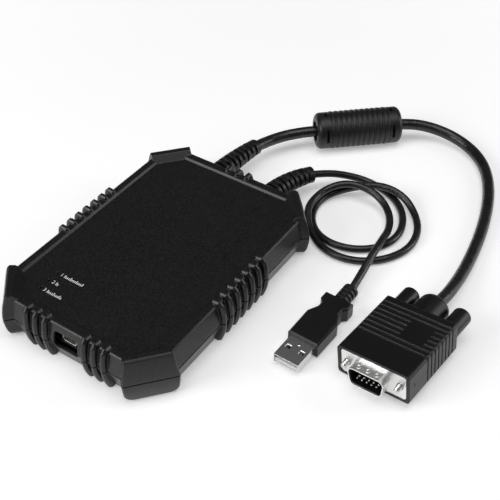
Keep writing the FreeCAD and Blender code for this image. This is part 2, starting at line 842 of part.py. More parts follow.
socket = new_body("socket")
pad(socket, "socket_pad", socket_outline(socket, "socket_outer", 0, socket_mouth),
    S.socket_depth, reverse=True)
pocket(socket, "socket_pocket", socket_outline(socket, "socket_inner", S.socket_wall, socket_mouth),
       S.socket_depth - S.socket_wall)
node("mini_usb_shell", socket)
tongue_z = socket_middle + S.socket_tongue_height / 4
tongue_length = S.socket_depth - S.socket_wall - S.socket_setback / 2
tongue_y = -socket_mouth + S.socket_depth - S.socket_wall - tongue_length / 2
node("mini_usb_tongue", box("mini_usb_tongue", S.socket_tongue_width, tongue_length,
                            S.socket_tongue_height, 0, tongue_y, tongue_z))
node("mini_usb_contacts", group("mini_usb_contacts", *[
    box("socket_contact_%d" % number, S.socket_contact, tongue_length, S.socket_contact_thick,
        S.socket_contact_pitch * (number - (SOCKET_CONTACTS - 1) / 2), tongue_y,
        tongue_z - S.socket_contact_thick)
    for number in range(SOCKET_CONTACTS)]))


# Strain reliefs: rings that shrink toward the end, on a core that bends with the cable.
# Two webs cross each slot between rings, by turns at its sides and at its top and foot.

def boot(label, x, length, bend, tilt):
    """One slotted boot, bent with its cable. Returns the point where the cable leaves it."""
    start = Vector(x.value, (S.case_half_length + S.boot_stand).value, S.boot_z.value)
    toward = Vector(math.cos(math.radians(tilt.value)), 0, -math.sin(math.radians(tilt.value)))
    radius = length / (bend * (math.pi / 180))

    def station(distance):
        angle = distance / radius.value
        point = start + toward * (radius.value * (1 - math.cos(angle)))
        point += Vector(0, radius.value * math.sin(angle), 0)
        return point, toward * math.sin(angle) + Vector(0, math.cos(angle), 0)

    def along_path(item, distance, corner=Vector()):
        point, direction = station(value_of(distance))
        spot = FreeCAD.Placement(point, FreeCAD.Rotation(Vector(0, 0, 1), direction))
        item.Placement = spot.multiply(FreeCAD.Placement(corner, FreeCAD.Rotation()))
        return item

    pieces = []
    shrink = (S.boot_root_radius - S.boot_tip_radius) / length
    pitch = (length - S.boot_collar) / BOOT_RINGS
    for number in range(BOOT_RINGS):
        near = pitch * number
        size = S.boot_root_radius - shrink * (near + S.boot_ring / 2)
        ring = rod("%s_ring_%d" % (label, number), size, S.boot_ring, "z")
        core = rod("%s_core_%d" % (label, number), S.boot_core, pitch + S.boot_ring / 2, "z")
        wide = (size - S.boot_web_inset) * 2
        across, upright = (S.boot_web, wide) if number % 2 else (wide, S.boot_web)
        web = block("%s_web_%d" % (label, number), across, upright, pitch)
        pieces += [along_path(ring, near), along_path(core, near), along_path(
            web, near, Vector(across.value / -2, upright.value / -2, S.boot_ring.value / 2))]
    collar = rod(label + "_collar", S.boot_tip_radius, S.boot_collar, "z")
    end, direction = station(length.value)
    collar.Placement = FreeCAD.Placement(end - direction * S.boot_collar.value,
                                         FreeCAD.Rotation(Vector(0, 0, 1), direction))
    pieces.append(collar)
    neck_start = boot_flange_y - S.boot_flange
    pieces.append(rod(label + "_neck", S.boot_hole - S.boot_play,
                      S.case_half_length + S.boot_stand + S.boot_ring / 2 - neck_start, "y",
                      x, neck_start, S.boot_z))
    pieces.append(rod(label + "_flange", S.boot_flange_radius, S.boot_flange, "y",
                      x, neck_start, S.boot_z))
    node(label, fuse(label, *pieces))
    return tuple(end)


vga_exit = boot("vga_boot", -S.boot_x, S.vga_boot_length, S.vga_bend, S.vga_tilt)
usb_exit = boot("usb_boot", S.boot_x, S.usb_boot_length, S.usb_bend, S.usb_tilt)


# Cables: round tubes along straight runs joined by tangent arcs

ARC_SHARE = 0.45


def cable(label, route, diameter):
    """One plain tube through the route's points, which it rounds off at each turn."""
    points = [Vector(*point) for point in route]
    edges = []
    radii = []
    last = points[0]
    for before, corner, after in zip(points, points[1:], points[2:]):
        back = before - corner
        ahead = after - corner
        turn = math.pi - back.getAngle(ahead)
        trim = ARC_SHARE * min(back.Length, ahead.Length)
        bend = trim / math.tan(turn / 2)
        radii.append(bend)
        back.normalize()
        ahead.normalize()
        inward = (back + ahead).normalize()
        middle = corner + inward * (bend / math.cos(turn / 2) - bend)
        entry = corner + back * trim
        leave = corner + ahead * trim
        edges.append(Part.LineSegment(last, entry).toShape())
        edges.append(Part.Arc(entry, middle, leave).toShape())
        last = leave
    edges.append(Part.LineSegment(last, points[-1]).toShape())
    path = Part.Wire(edges)
    ring = Part.Circle(points[0], points[1] - points[0], diameter.value / 2).toShape()
    solid = path.makePipeShell([Part.Wire(ring)], True, True)
    item = doc.addObject("Part::Feature", label)
    item.Shape = solid
    expected = math.pi * (diameter.value / 2) ** 2 * path.Length
    print("%s: length %.0f, tightest radius %.1f, volume %.4f of section times length" % (
        label, path.Length, min(radii), solid.Volume / expected))
    return node(label, item)


def plug_frame(x, y, z, turn, roll=None):
    """Where a plug lies: its front face's centre, its heading and its roll."""
    heading = FreeCAD.Rotation(Vector(0, 0, 1), turn.value)
    lean = FreeCAD.Rotation(Vector(0, 1, 0), roll.value if roll else 0)
    return FreeCAD.Placement(Vector(x.value, y.value, z.value), heading.multiply(lean))


vga_frame = plug_frame(S.vga_plug_x, S.vga_plug_y, S.vga_plug_z, S.vga_plug_turn, S.vga_plug_roll)
usb_frame = plug_frame(S.usb_plug_x, S.usb_plug_y, S.usb_plug_z, S.usb_plug_turn)
vga_plug_length = S.hood_length + S.hood_boot
usb_plug_length = S.body_ear_end + S.body_boot


def plug_end(frame, length):
    end = frame.multVec(Vector(0, length.value, 0))
    return (end.x, end.y, end.z)


def ferrite_end(side):
    """Where the cable enters the ferrite, or leaves it."""
    half = S.ferrite_length.value / 2 * side
    heading = math.radians(S.ferrite_turn.value)
    return (S.ferrite_x.value + half * math.cos(heading),
            S.ferrite_y.value + half * math.sin(heading),
            (S.ferrite_radius + S.ferrite_rest).value)


vga_route = [vga_exit] + VGA_ROUTE_TO_FERRITE + [ferrite_end(-1), ferrite_end(1)]
vga_route += VGA_ROUTE_TO_PLUG + [plug_end(vga_frame, vga_plug_length)]
cable("vga_cable", vga_route, S.vga_cable_diameter)
cable("usb_cable", [usb_exit] + USB_ROUTE + [plug_end(usb_frame, usb_plug_length)],
      S.usb_cable_diameter)


# Clip-on ferrite: a ringed case in two halves round two half cores, lying on the floor

def ferrite():
    first, last = Vector(*ferrite_end(-1)), Vector(*ferrite_end(1))
    lie = FreeCAD.Rotation(Vector(0, 1, 0), last - first)
    lie = lie.multiply(FreeCAD.Rotation(Vector(0, 1, 0), S.ferrite_roll.value))
    frame = FreeCAD.Placement((first + last) * 0.5, lie)
    half = S.ferrite_length / 2

    bar = rod("ferrite_bar", S.ferrite_radius, S.ferrite_length, "y", 0, -half, 0)
    shell = bevel("ferrite_shell", bar, S.ferrite_edge,
                  lambda edge: isinstance(edge.Curve, Part.Circle), kind="Fillet")
    slab = rod("ferrite_slab", S.ferrite_radius * 2, S.ferrite_groove_width, "y")
    heart = rod("ferrite_heart", S.ferrite_radius - S.ferrite_groove,
                S.ferrite_groove_width * 3, "y", 0, -S.ferrite_groove_width, 0)
    hoop = cut("ferrite_hoop", slab, heart)
    first_groove = S.ferrite_groove_pitch * ((1 - FERRITE_GROOVES) / 2) - S.ferrite_groove_width / 2
    grooves = [copy_at("ferrite_groove_%d" % number, hoop,
                       at(0, first_groove + S.ferrite_groove_pitch * number, 0))
               for number in range(FERRITE_GROOVES)]
    mouths = [rod("ferrite_mouth_%d" % number, S.ferrite_mouth_radius, S.ferrite_mouth * 2, "y",
                  0, half * side - S.ferrite_mouth, 0)
              for number, side in enumerate((-1, 1), start=1)]
    core_length = S.ferrite_length - S.ferrite_end_wall * 2
    core_space = rod("ferrite_core_space", S.ferrite_radius - S.ferrite_wall, core_length, "y",
                     0, core_length * -0.5, 0)
    bore_radius = S.vga_cable_diameter / 2 + S.ferrite_play
    bore = rod("ferrite_bore", bore_radius, S.ferrite_length * 2, "y", 0, -S.ferrite_length, 0)
    upper = box("ferrite_upper", S.ferrite_radius * 4, S.ferrite_length * 2, S.ferrite_radius * 2)
    lower = box("ferrite_lower", S.ferrite_radius * 4, S.ferrite_length * 2, S.ferrite_radius * 2,
                0, 0, S.ferrite_radius * -2)
    latches = []
    for side in (-1, 1):
        for height, turn in ((S.latch_length, S.latch_turn), (S.latch_notch, S.notch_turn)):
            latch = block("latch_%d" % len(latches), S.latch_depth * 2, S.latch_width, height)
            spin = FreeCAD.Rotation(Vector(0, 1, 0), -turn.value)
            corner = Vector(S.ferrite_radius.value - S.latch_depth.value,
                            (half - S.latch_in).value * side - S.latch_width.value / 2,
                            -height.value / 2)
            latch.Placement = FreeCAD.Placement(spin.multVec(corner), spin)
            latches.append(latch)
    hollow = cut("ferrite_hollow", shell, core_space, bore, *grooves, *mouths)
    cores = cut("ferrite_cores", core_space, bore)
    for side, half_space in (("upper", upper), ("lower", lower)):
        case = common("ferrite_%s_half" % side, hollow, half_space)
        if side == "upper":
            case = cut("ferrite_latched_half", case, *latches)
        case.Placement = frame
        node("ferrite_%s_case" % side, case)
        core = common("ferrite_%s_core" % side, cores, half_space)
        core.Placement = frame
        node("ferrite_%s_core" % side, core)


ferrite()


# Video plug: moulded hood with grip grooves, D-shell on a flange, insulator, pins, thumbscrews

def hood():
    body = new_body("hood_block")
    profile = outline(body, "hood_outline", "XZ", rectangle(S.hood_width / 2, S.hood_height / 2))
    block = pad(body, "hood_pad", profile, S.hood_length, reverse=True)
    round_off(body, "hood_round", block, S.hood_round, lambda edge: runs_along(edge, "y"))
    boot_bar = rod("hood_boot_bar", S.hood_boot_radius, S.hood_boot, "y", 0, S.hood_length, 0)
    boot_middle = S.hood_length + S.hood_boot / 2
    boot_end = bevel("hood_boot", boot_bar, S.hood_boot_round,
                     lambda edge: isinstance(edge.Curve, Part.Circle)
                     and edge.CenterOfMass.y > boot_middle.value, kind="Fillet")

    slab = box("groove_slab", S.hood_width * 2, S.hood_groove_width, S.hood_height * 2,
               0, S.hood_groove_width / 2, -S.hood_height)
    heart = box("groove_heart", S.hood_width - S.hood_groove * 2, S.hood_groove_width * 2,
                S.hood_height - S.hood_groove * 2, 0, S.hood_groove_width / 2,
                S.hood_groove - S.hood_height / 2)
    frame = cut("groove_frame", slab, heart)
    grooves = [copy_at("groove_%d" % number, frame,
                       at(0, S.hood_groove_start + S.hood_groove_pitch * number, 0))
               for number in range(HOOD_GROOVES)]
    grooved = cut("hood_grooved", body, *grooves)
    field = box("hood_field", S.hood_field_width, S.hood_field_length, S.hood_groove * 2,
                S.hood_field_left + S.hood_field_width / 2,
                S.hood_field_start + S.hood_field_length / 2,
                S.hood_height / 2 - S.hood_groove * 2)

    seat_depth = S.flange_inset + S.flange_thick
    seat = box("flange_seat", S.flange_width + S.flange_play, seat_depth * 2,
               S.flange_height + S.flange_play, 0, 0, (S.flange_height + S.flange_play) * -0.5)
    hollow_depth = seat_depth + S.insulator_depth + S.pin_tail * 2
    hollow = box("hood_hollow", S.d_width + S.wall, hollow_depth * 2, S.d_height + S.wall,
                 0, 0, (S.d_height + S.wall) * -0.5)
    bores = [rod("jack_bore_%d" % number, S.jack_radius + S.jack_play, S.hood_length * 2, "y",
                 S.jack_spacing / 2 * side, S.hood_length * -0.5, 0)
             for number, side in enumerate((-1, 1), start=1)]
    solid = cut("hood", fuse("hood_moulding", grooved, field, boot_end), seat, hollow, *bores)
    solid.Placement = vga_frame
    return node("vga_plug_hood", solid)


def d_outline(body, name, inset, lift):
    """The D: wide side up, its two ends sloping in toward the narrow side."""
    slope = math.tan(math.radians(S.d_slope.value))
    wide = S.d_width / 2 - inset
    narrow = wide - (S.d_height - inset * 2) * slope
    half = S.d_height / 2 - inset
    return outline(body, name, "XZ", [(narrow, -half), (wide, half), (-wide, half), (-narrow, -half)],
                   lift=lift)


def d_block(name, inset, front, length):
    """A solid D with rounded corners that runs back from its front face."""
    body = new_body(name)
    block = pad(body, name + "_pad", d_outline(body, name + "_outline", inset, front),
                length, reverse=True)

    def corner(edge):
        return runs_along(edge, "y")
    round_off(body, name + "_round", block, S.d_round - inset, corner)
    return body


flange_front = S.flange_inset
d_front = S.d_depth - flange_front


def d_shell():
    outer = d_block("d_outer", 0, d_front, S.d_depth + S.flange_thick / 2)
    plate = new_body("flange_plate")
    profile = outline(plate, "flange_outline", "XZ",
                      rectangle(S.flange_width / 2, S.flange_height / 2), lift=-flange_front)
    slab = pad(plate, "flange_pad", profile, S.flange_thick, reverse=True)
    round_off(plate, "flange_round", slab, S.flange_round, lambda edge: runs_along(edge, "y"))
    inner = d_block("d_inner", S.d_wall, d_front + S.flange_thick,
                    S.d_depth + S.flange_thick * 4)
    holes = [rod("flange_hole_%d" % number, S.jack_radius + S.flange_play, S.flange_thick * 4, "y",
                 S.jack_spacing / 2 * side, -S.flange_thick, 0)
             for number, side in enumerate((-1, 1), start=1)]
    solid = cut("d_shell", fuse("d_pressing", outer, plate), inner, *holes)
    solid.Placement = vga_frame
    return node("vga_plug_shell", solid)


def pins():
    solids = []
    for row in range(PIN_ROWS):
        for column in range(PIN_COLUMNS):
            stagger = S.pin_pitch / 2 * (0.5 if row % 2 else -0.5)
            solids.append(rod(
                "pin_%d_%d" % (row, column), S.pin_radius,
                S.pin_reach + S.insulator_depth + S.pin_tail, "y",
                S.pin_pitch * (column - (PIN_COLUMNS - 1) / 2) + stagger,
                flange_front - S.pin_reach,
                S.pin_row * (row - (PIN_ROWS - 1) / 2)))
    return group("pins", *solids)


hood()
d_shell()
pin_group = pins()
insulator = cut("insulator", d_block("insulator_block", S.d_wall + S.insulator_play,
                                     -flange_front, S.insulator_depth), pin_group)
insulator.Placement = vga_frame
node("vga_plug_insulator", insulator)
plug_pins = group("plug_pins", pin_group)
plug_pins.Placement = vga_frame
node("vga_plug_pins", plug_pins)


def thumbscrew(side, x):
    """Steel screw through the hood, necked behind its thread, with a knob moulded on its end."""
    knob_front = S.hood_length + S.knob_gap
    shank_front = flange_front + S.jack_relief
    tip = rod(side + "_tip", S.jack_radius, S.jack_reach + flange_front, "y", x, -S.jack_reach, 0)
    relief = rod(side + "_relief", S.jack_relief_radius, S.jack_relief, "y", x, flange_front, 0)
    shank = rod(side + "_shank", S.jack_radius, knob_front + S.jack_grip - shank_front, "y",
                x, shank_front, 0)
    knob = rod(side + "_knob", S.knob_radius, S.knob_length, "y", x, knob_front, 0)
    bevelled = bevel(side + "_knob_edge", knob, S.knob_edge,
                     lambda edge: isinstance(edge.Curve, Part.Circle)
                     and edge.CenterOfMass.y > (knob_front + S.knob_length / 2).value)
    screw_piece = fuse(side + "_jackscrew", tip, relief, shank)
    screw_piece.Placement = vga_frame
    node(side + "_jackscrew", screw_piece)
    grip = cut(side + "_grip", bevelled, shank)
    grip.Placement = vga_frame
    node(side + "_thumbscrew_knob", grip)


thumbscrew("left", S.jack_spacing * -0.5)
thumbscrew("right", S.jack_spacing / 2)


# USB plug: waisted body with ears and a ringed tail, folded shell, tongue and contacts

def plug_body():
    body = new_body("plug_body")
    half = [
        (S.body_front_half, 0), (S.body_shoulder_half, S.body_shoulder),
        (S.body_waist_half, S.body_waist), (S.body_waist_half, S.body_waist_end),
        (S.body_ear_half, S.body_ear), (S.body_ear_half, S.body_ear_end),
    ]
    corners = half + [(-x, y) for x, y in reversed(half)]
    profile = outline(body, "plug_plan", "XY", corners)
    block = pad(body, "plug_block", profile, S.body_height, both=True)

    def rim(edge):
        return edge.BoundBox.ZLength < 0.01
    round_off(body, "plug_edge", block, S.body_edge, rim, kind="Chamfer")
    tail = rod("plug_tail", S.body_core, S.body_boot, "y", 0, S.body_ear_end, 0)
    rings = [rod("plug_ring_%d" % number, S.body_ring_radius, S.body_ring, "y", 0,
                 S.body_ear_end + S.body_ring_gap + (S.body_ring + S.body_ring_gap) * number, 0)
             for number in range(PLUG_RINGS)]
    seat = box("plug_seat", S.plug_width, S.plug_seat * 2, S.plug_height, 0, 0, S.plug_height * -0.5)
    solid = cut("usb_plug_body", fuse("plug_moulding", body, tail, *rings), seat)
    solid.Placement = usb_frame
    return node("usb_plug_body", solid)


def plug_shell():
    length = S.plug_reach + S.plug_seat
    middle = length / 2 - S.plug_reach
    outer = box("plug_outer", S.plug_width, length, S.plug_height, 0, middle, S.plug_height * -0.5)
    inner = box("plug_inner", S.plug_width - S.plug_wall * 2, length * 2,
                S.plug_height - S.plug_wall * 2, 0, middle, S.plug_wall - S.plug_height / 2)
    windows = [box("plug_window_%d" % number, S.plug_window, S.plug_window, S.plug_height * 2,
                   S.plug_window_x * side, -S.plug_window_back, -S.plug_height)
               for number, side in enumerate((-1, 1), start=1)]
    solid = cut("usb_plug_shell", outer, inner, *windows)
    solid.Placement = usb_frame
    return node("usb_plug_shell", solid)


plug_body()
plug_shell()
tongue_depth = S.plug_reach + S.plug_seat - S.tongue_inset
tongue_low = S.plug_wall - S.plug_height / 2
usb_tongue = group("usb_tongue", box(
    "tongue_block", S.plug_width - S.plug_wall * 2, tongue_depth, S.tongue_height,
    0, S.plug_seat - tongue_depth / 2, tongue_low))
usb_tongue.Placement = usb_frame
node("usb_plug_tongue", usb_tongue)
usb_contacts = group("usb_contacts", *[
    box("contact_%d" % number, S.contact_width, S.contact_length, S.contact_thick,
        S.contact_pitch * (number - (USB_CONTACTS - 1) / 2),
        S.tongue_inset * 2 - S.plug_reach + S.contact_length / 2, tongue_low + S.tongue_height)
    for number in range(USB_CONTACTS)])
usb_contacts.Placement = usb_frame
node("usb_plug_contacts", usb_contacts)

# Check every object and hand out one file for each piece
doc.recompute()
for item in doc.Objects:
    if "Invalid" in item.State or "Error" in item.State:
        raise SystemExit("%s did not build: %s" % (item.Name, item.State))
os.makedirs("parts", exist_ok=True)
for item in nodes:
    if item.Shape.isNull() or not item.Shape.isValid():
        raise SystemExit("%s has no valid shape" % item.Label)
    item.Shape.exportStep("parts/%s.step" % item.Label)
print("%d nodes, housing %s" % (len(nodes), top_shell.Shape.BoundBox))
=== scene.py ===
import math

import bmesh
import bpy
from mathutils import Matrix, Vector


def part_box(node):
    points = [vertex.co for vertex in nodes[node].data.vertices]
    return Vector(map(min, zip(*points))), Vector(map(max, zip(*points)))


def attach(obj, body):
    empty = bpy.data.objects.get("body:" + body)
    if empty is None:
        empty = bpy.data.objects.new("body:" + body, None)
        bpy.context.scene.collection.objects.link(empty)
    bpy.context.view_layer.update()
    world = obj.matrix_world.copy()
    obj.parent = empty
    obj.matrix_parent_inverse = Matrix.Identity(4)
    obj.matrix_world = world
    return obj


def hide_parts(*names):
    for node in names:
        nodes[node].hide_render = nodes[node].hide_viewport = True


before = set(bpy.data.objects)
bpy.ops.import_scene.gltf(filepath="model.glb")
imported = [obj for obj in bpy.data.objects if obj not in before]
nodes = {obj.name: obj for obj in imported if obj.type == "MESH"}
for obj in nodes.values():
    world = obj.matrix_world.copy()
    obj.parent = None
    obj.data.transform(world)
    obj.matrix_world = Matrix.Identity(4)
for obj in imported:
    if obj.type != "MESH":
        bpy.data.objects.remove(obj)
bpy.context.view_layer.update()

# Housing: two halves of black ABS, moulded in spark-eroded cavities, so that every wall has a
# fine matt grain. Bumpers and ribs belong to the halves. All edges are broken by a small
# radius, which shines a little where hands and shelves have rubbed it.


def add(tree, kind, fill=None, **settings):
    """One shader node, with its settings made and its sockets filled or linked."""
    item = tree.nodes.new("ShaderNode" + kind)
    for key, value in settings.items():
        setattr(item, key, value)
    for socket, value in (fill or {}).items():
        if isinstance(value, bpy.types.NodeSocket):
            tree.links.new(value, item.inputs[socket])
        else:
            item.inputs[socket].default_value = value
    return item


def effect(name, inputs, outputs):
    """An empty shader group with named number inputs. Returns it with its inner ends."""
    group = bpy.data.node_groups.new(name, "ShaderNodeTree")
    for label, value in inputs.items():
        socket = group.interface.new_socket(label, in_out="INPUT", socket_type="NodeSocketFloat")
        socket.default_value = value
    for label, kind in outputs.items():
        group.interface.new_socket(label, in_out="OUTPUT", socket_type="NodeSocket" + kind)
    entries = group.nodes.new("NodeGroupInput").outputs
    exits = group.nodes.new("NodeGroupOutput").inputs
    return group, entries, exits


spark_grain, grain_in, grain_out = effect(
    "spark_grain", {"Size": 0.0005}, {"Height": "Float", "Fleck": "Float"})
pit_share = 0.45
grain_rate = add(spark_grain, "Math", {0: 1.0, 1: grain_in["Size"]}, operation="DIVIDE")
grain_place = add(spark_grain, "TexCoord").outputs["Object"]
grain_noise = add(spark_grain, "TexNoise", {"Vector": grain_place, "Scale": grain_rate.outputs[0],
                                            "Detail": 3.0, "Roughness": 0.62})
grain_pits = add(spark_grain, "TexVoronoi", {"Vector": grain_place,
                                             "Scale": grain_rate.outputs[0]})
grain_sum = add(spark_grain, "Math", {0: grain_pits.outputs["Distance"], 1: pit_share,
                                      2: grain_noise.outputs["Fac"]}, operation="MULTIPLY_ADD")
grain_fleck = add(spark_grain, "MapRange", {"Value": grain_noise.outputs["Fac"],
                                            "From Min": 0.35, "From Max": 0.68})
spark_grain.links.new(grain_sum.outputs[0], grain_out["Height"])
spark_grain.links.new(grain_fleck.outputs[0], grain_out["Fleck"])

eased_edge, edge_in, edge_out = effect(
    "eased_edge", {"Radius": 0.0004}, {"Normal": "Vector", "Rub": "Float"})
edge_round = add(eased_edge, "Bevel", {"Radius": edge_in["Radius"]}, samples=6)
edge_flat = add(eased_edge, "NewGeometry").outputs["Normal"]
edge_dot = add(eased_edge, "VectorMath", {0: edge_round.outputs[0], 1: edge_flat},
               operation="DOT_PRODUCT")
edge_rub = add(eased_edge, "MapRange", {"Value": edge_dot.outputs["Value"],
                                        "From Min": 0.985, "From Max": 0.80})
edge_place = add(eased_edge, "TexCoord").outputs["Object"]
edge_patch = add(eased_edge, "TexNoise", {"Vector": edge_place, "Scale": 140.0, "Detail": 4.0})
edge_worn = add(eased_edge, "Math", {0: edge_rub.outputs[0], 1: edge_patch.outputs["Fac"]},
                operation="MULTIPLY")
eased_edge.links.new(edge_round.outputs[0], edge_out["Normal"])
eased_edge.links.new(edge_worn.outputs[0], edge_out["Rub"])

handling, hand_in, hand_out = effect("handling", {"Size": 0.02}, {"Film": "Float"})
hand_rate = add(handling, "Math", {0: 1.0, 1: hand_in["Size"]}, operation="DIVIDE")
hand_place = add(handling, "TexCoord").outputs["Object"]
hand_noise = add(handling, "TexNoise", {"Vector": hand_place, "Scale": hand_rate.outputs[0],
                                        "Detail": 5.0, "Roughness": 0.55, "Distortion": 0.6})
hand_film = add(handling, "MapRange", {"Value": hand_noise.outputs["Fac"],
                                       "From Min": 0.3, "From Max": 0.7})
handling.links.new(hand_film.outputs[0], hand_out["Film"])


def place_group(tree, group, **values):
    """A group in a material, with its own values. Returns its outputs."""
    item = tree.nodes.new("ShaderNodeGroup")
    item.node_tree = group
    for label, value in values.items():
        item.inputs[label].default_value = value
    return item.outputs


def blended(tree, factor, first, second):
    """A colour between two others, each of them a colour or a socket."""
    item = add(tree, "Mix", {"Factor": factor}, data_type="RGBA")
    ends = [socket for socket in item.inputs if socket.type == "RGBA"]
    for socket, colour in zip(ends, (first, second)):
        if isinstance(colour, bpy.types.NodeSocket):
            tree.links.new(colour, socket)
        else:
            socket.default_value = (*colour, 1)
    return [socket for socket in item.outputs if socket.type == "RGBA"][0]


def new_material(name):
    """A plain material to work on. Returns it with its node tree and its shader."""
    material = bpy.data.materials.new(name)
    material.use_nodes = True
    tree = material.node_tree
    return material, tree, tree.nodes["Principled BSDF"]


rub_polish = -0.18


def moulded(name, dark, light, rubbed, roughness, grain, depth, edge, specular):
    """Moulded plastic: grain in colour and height, eased edges, and a film from handling."""
    material, tree, shader = new_material(name)
    shader.inputs["Specular IOR Level"].default_value = specular
    fine = place_group(tree, spark_grain, Size=grain)
    corner = place_group(tree, eased_edge, Radius=edge)
    film = place_group(tree, handling)["Film"]
    skin = blended(tree, fine["Fleck"], dark, light)
    tree.links.new(blended(tree, corner["Rub"], skin, rubbed), shader.inputs["Base Color"])
    gloss = add(tree, "MapRange", {"Value": film, "To Min": roughness[0], "To Max": roughness[1]})
    polish = add(tree, "Math", {0: corner["Rub"], 1: rub_polish, 2: gloss.outputs[0]},
                 operation="MULTIPLY_ADD")
    tree.links.new(polish.outputs[0], shader.inputs["Roughness"])
    bump = add(tree, "Bump", {"Height": fine["Height"], "Normal": corner["Normal"],
                              "Strength": 0.6, "Distance": depth})
    tree.links.new(bump.outputs[0], shader.inputs["Normal"])
    return material


def dress(material, *names):
    """Gives CAD nodes their material."""
    for name in names:
        mesh = nodes[name].data
        mesh.materials.clear()
        mesh.materials.append(material)


case_black = moulded(
    "case_black", dark=(0.0010, 0.0010, 0.0012), light=(0.0185, 0.0185, 0.0193),
    rubbed=(0.024, 0.024, 0.025), roughness=(0.26, 0.34), grain=0.00055, depth=0.00004,
    edge=0.0007, specular=0.38)
dress(case_black, "top_shell", "bottom_shell")

# Case screws: four zinc plated steel screws, set from below in deep wells, through the
# board's holes into the pillars of the top half. The plating is dull and a little streaked.

sheet_edge = 0.00015


def plated(name, colour, roughness, streak):
    """Plated sheet or wire: metal with drawn streaks in its gloss and softly eased edges."""
    material, tree, shader = new_material(name)
    shader.inputs["Metallic"].default_value = 1.0
    shader.inputs["Base Color"].default_value = (*colour, 1)
    place = add(tree, "TexCoord").outputs["Object"]
    stretched = add(tree, "Mapping", {"Vector": place, "Scale": streak})
    lines = add(tree, "TexNoise", {"Vector": stretched.outputs[0], "Scale": 1.0, "Detail": 3.0})
    gloss = add(tree, "MapRange", {"Value": lines.outputs["Fac"], "From Min": 0.3, "From Max": 0.7,
                                   "To Min": roughness[0], "To Max": roughness[1]})
    tree.links.new(gloss.outputs[0], shader.inputs["Roughness"])
    corner = place_group(tree, eased_edge, Radius=sheet_edge)
    tree.links.new(corner["Normal"], shader.inputs["Normal"])
    return material


screw_zinc = plated(
    "screw_zinc", colour=(0.50, 0.50, 0.52), roughness=(0.30, 0.46), streak=(900, 900, 200))


def turned(form, profile, place, segments=32, stretch=1.0):
    """Adds a turned solid: (radius, height) pairs round the Z axis of a placement."""
    rings = []
    for radius, height in profile:
        angles = [math.tau * number / segments for number in range(segments if radius else 1)]
        rings.append([form.verts.new(place @ Vector((
            radius * math.cos(angle), radius * math.sin(angle) * stretch, height)))
            for angle in angles])
    for low, high in zip(rings, rings[1:]):
        for number in range(segments):
            after = number + 1
            corners = [low[number % len(low)], low[after % len(low)],
                       high[after % len(high)], high[number % len(high)]]
            form.faces.new(list(dict.fromkeys(corners)))
    return rings


def band(form, low, high):
    """Adds the strip of faces between two closed rings of as many points."""
    for index in range(len(low)):
        form.faces.new((low[index - 1], low[index], high[index], high[index - 1]))


def sink(form, ring, outline, place, face, floor, taper=1.0):
    """Closes a ring by a flat face with a recess of the given outline in it."""
    mouth = [form.verts.new(place @ Vector((x, y, face))) for x, y in outline]
    pit = [form.verts.new(place @ Vector((x * taper, y * taper, floor))) for x, y in outline]
    band(form, mouth, pit)
    form.faces.new(pit)
    edges = [form.edges.get((loop[number - 1], loop[number]))
             for loop in (ring, mouth) for number in range(len(loop))]
    bmesh.ops.triangle_fill(form, use_beauty=True, edges=edges)


sharp_angle = math.radians(35)


def new_piece(name, form, material, body):
    """A finished bmesh as a piece on a body, smooth but for its sharp edges."""
    bmesh.ops.recalc_face_normals(form, faces=form.faces)
    mesh = bpy.data.meshes.new(name)
    form.to_mesh(mesh)
    form.free()
    mesh.shade_smooth()
    mesh.set_sharp_from_angle(angle=sharp_angle)
    mesh.materials.append(material)
    piece = bpy.data.objects.new(name, mesh)
    bpy.context.scene.collection.objects.link(piece)
    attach(piece, body)
    return piece


screw_face, screw_seat, screw_tip = 0.0028, 0.0044, 0.0170
screw_head, screw_shank = 0.0024, 0.00125
screw_profile = [
    (0.00175, screw_face), (0.00215, 0.00295), (screw_head, 0.0033), (screw_head, screw_seat),
    (screw_shank, screw_seat), (screw_shank, 0.0162), (0.0007, screw_tip), (0, screw_tip)]
recess_arm, recess_half, recess_depth, recess_taper = 0.00115, 0.00030, 0.0010, 0.55
recess_quarter = ((recess_arm, -recess_half), (recess_arm, recess_half),
                  (recess_half, recess_half))
cross = [Matrix.Rotation(math.pi / 2 * quarter, 2) @ Vector(point)
         for quarter in range(4) for point in recess_quarter]
screw_low, screw_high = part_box("case_screws")
screws = bmesh.new()
for screw_x in (screw_low.x + screw_head, screw_high.x - screw_head):
    for screw_y in (screw_low.y + screw_head, screw_high.y - screw_head):
        screw_place = Matrix.Translation((screw_x, screw_y, 0))
        face_ring = turned(screws, screw_profile, screw_place)[0]
        sink(screws, face_ring, cross, screw_place, screw_face, screw_face + recess_depth,
             recess_taper)
screw_set = new_piece("screw_set", screws, screw_zinc, "adapter")
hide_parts("case_screws")

# Circuit board: glass laminate under black solder mask, held between the bosses and the
# pillars. Copper runs show under the mask as slightly lighter lines.

mask_black, mask_tree, mask_shader = new_material("mask_black")
mask_shader.inputs["Roughness"].default_value = 0.35
mask_place = add(mask_tree, "TexCoord").outputs["Object"]
mask_runs = add(mask_tree, "TexBrick", {"Vector": mask_place, "Scale": 160.0,
                                        "Mortar Size": 0.012,
                                        "Color1": (0.004, 0.005, 0.005, 1),
                                        "Color2": (0.006, 0.007, 0.007, 1),
                                        "Mortar": (0.012, 0.014, 0.013, 1)})
mask_tree.links.new(mask_runs.outputs["Color"], mask_shader.inputs["Base Color"])
dress(mask_black, "circuit_board")

# Parts on the board: moulded chips and capacitor sleeves, a drawn steel crystal can, and
# white nylon headers for the wires of the two cables.

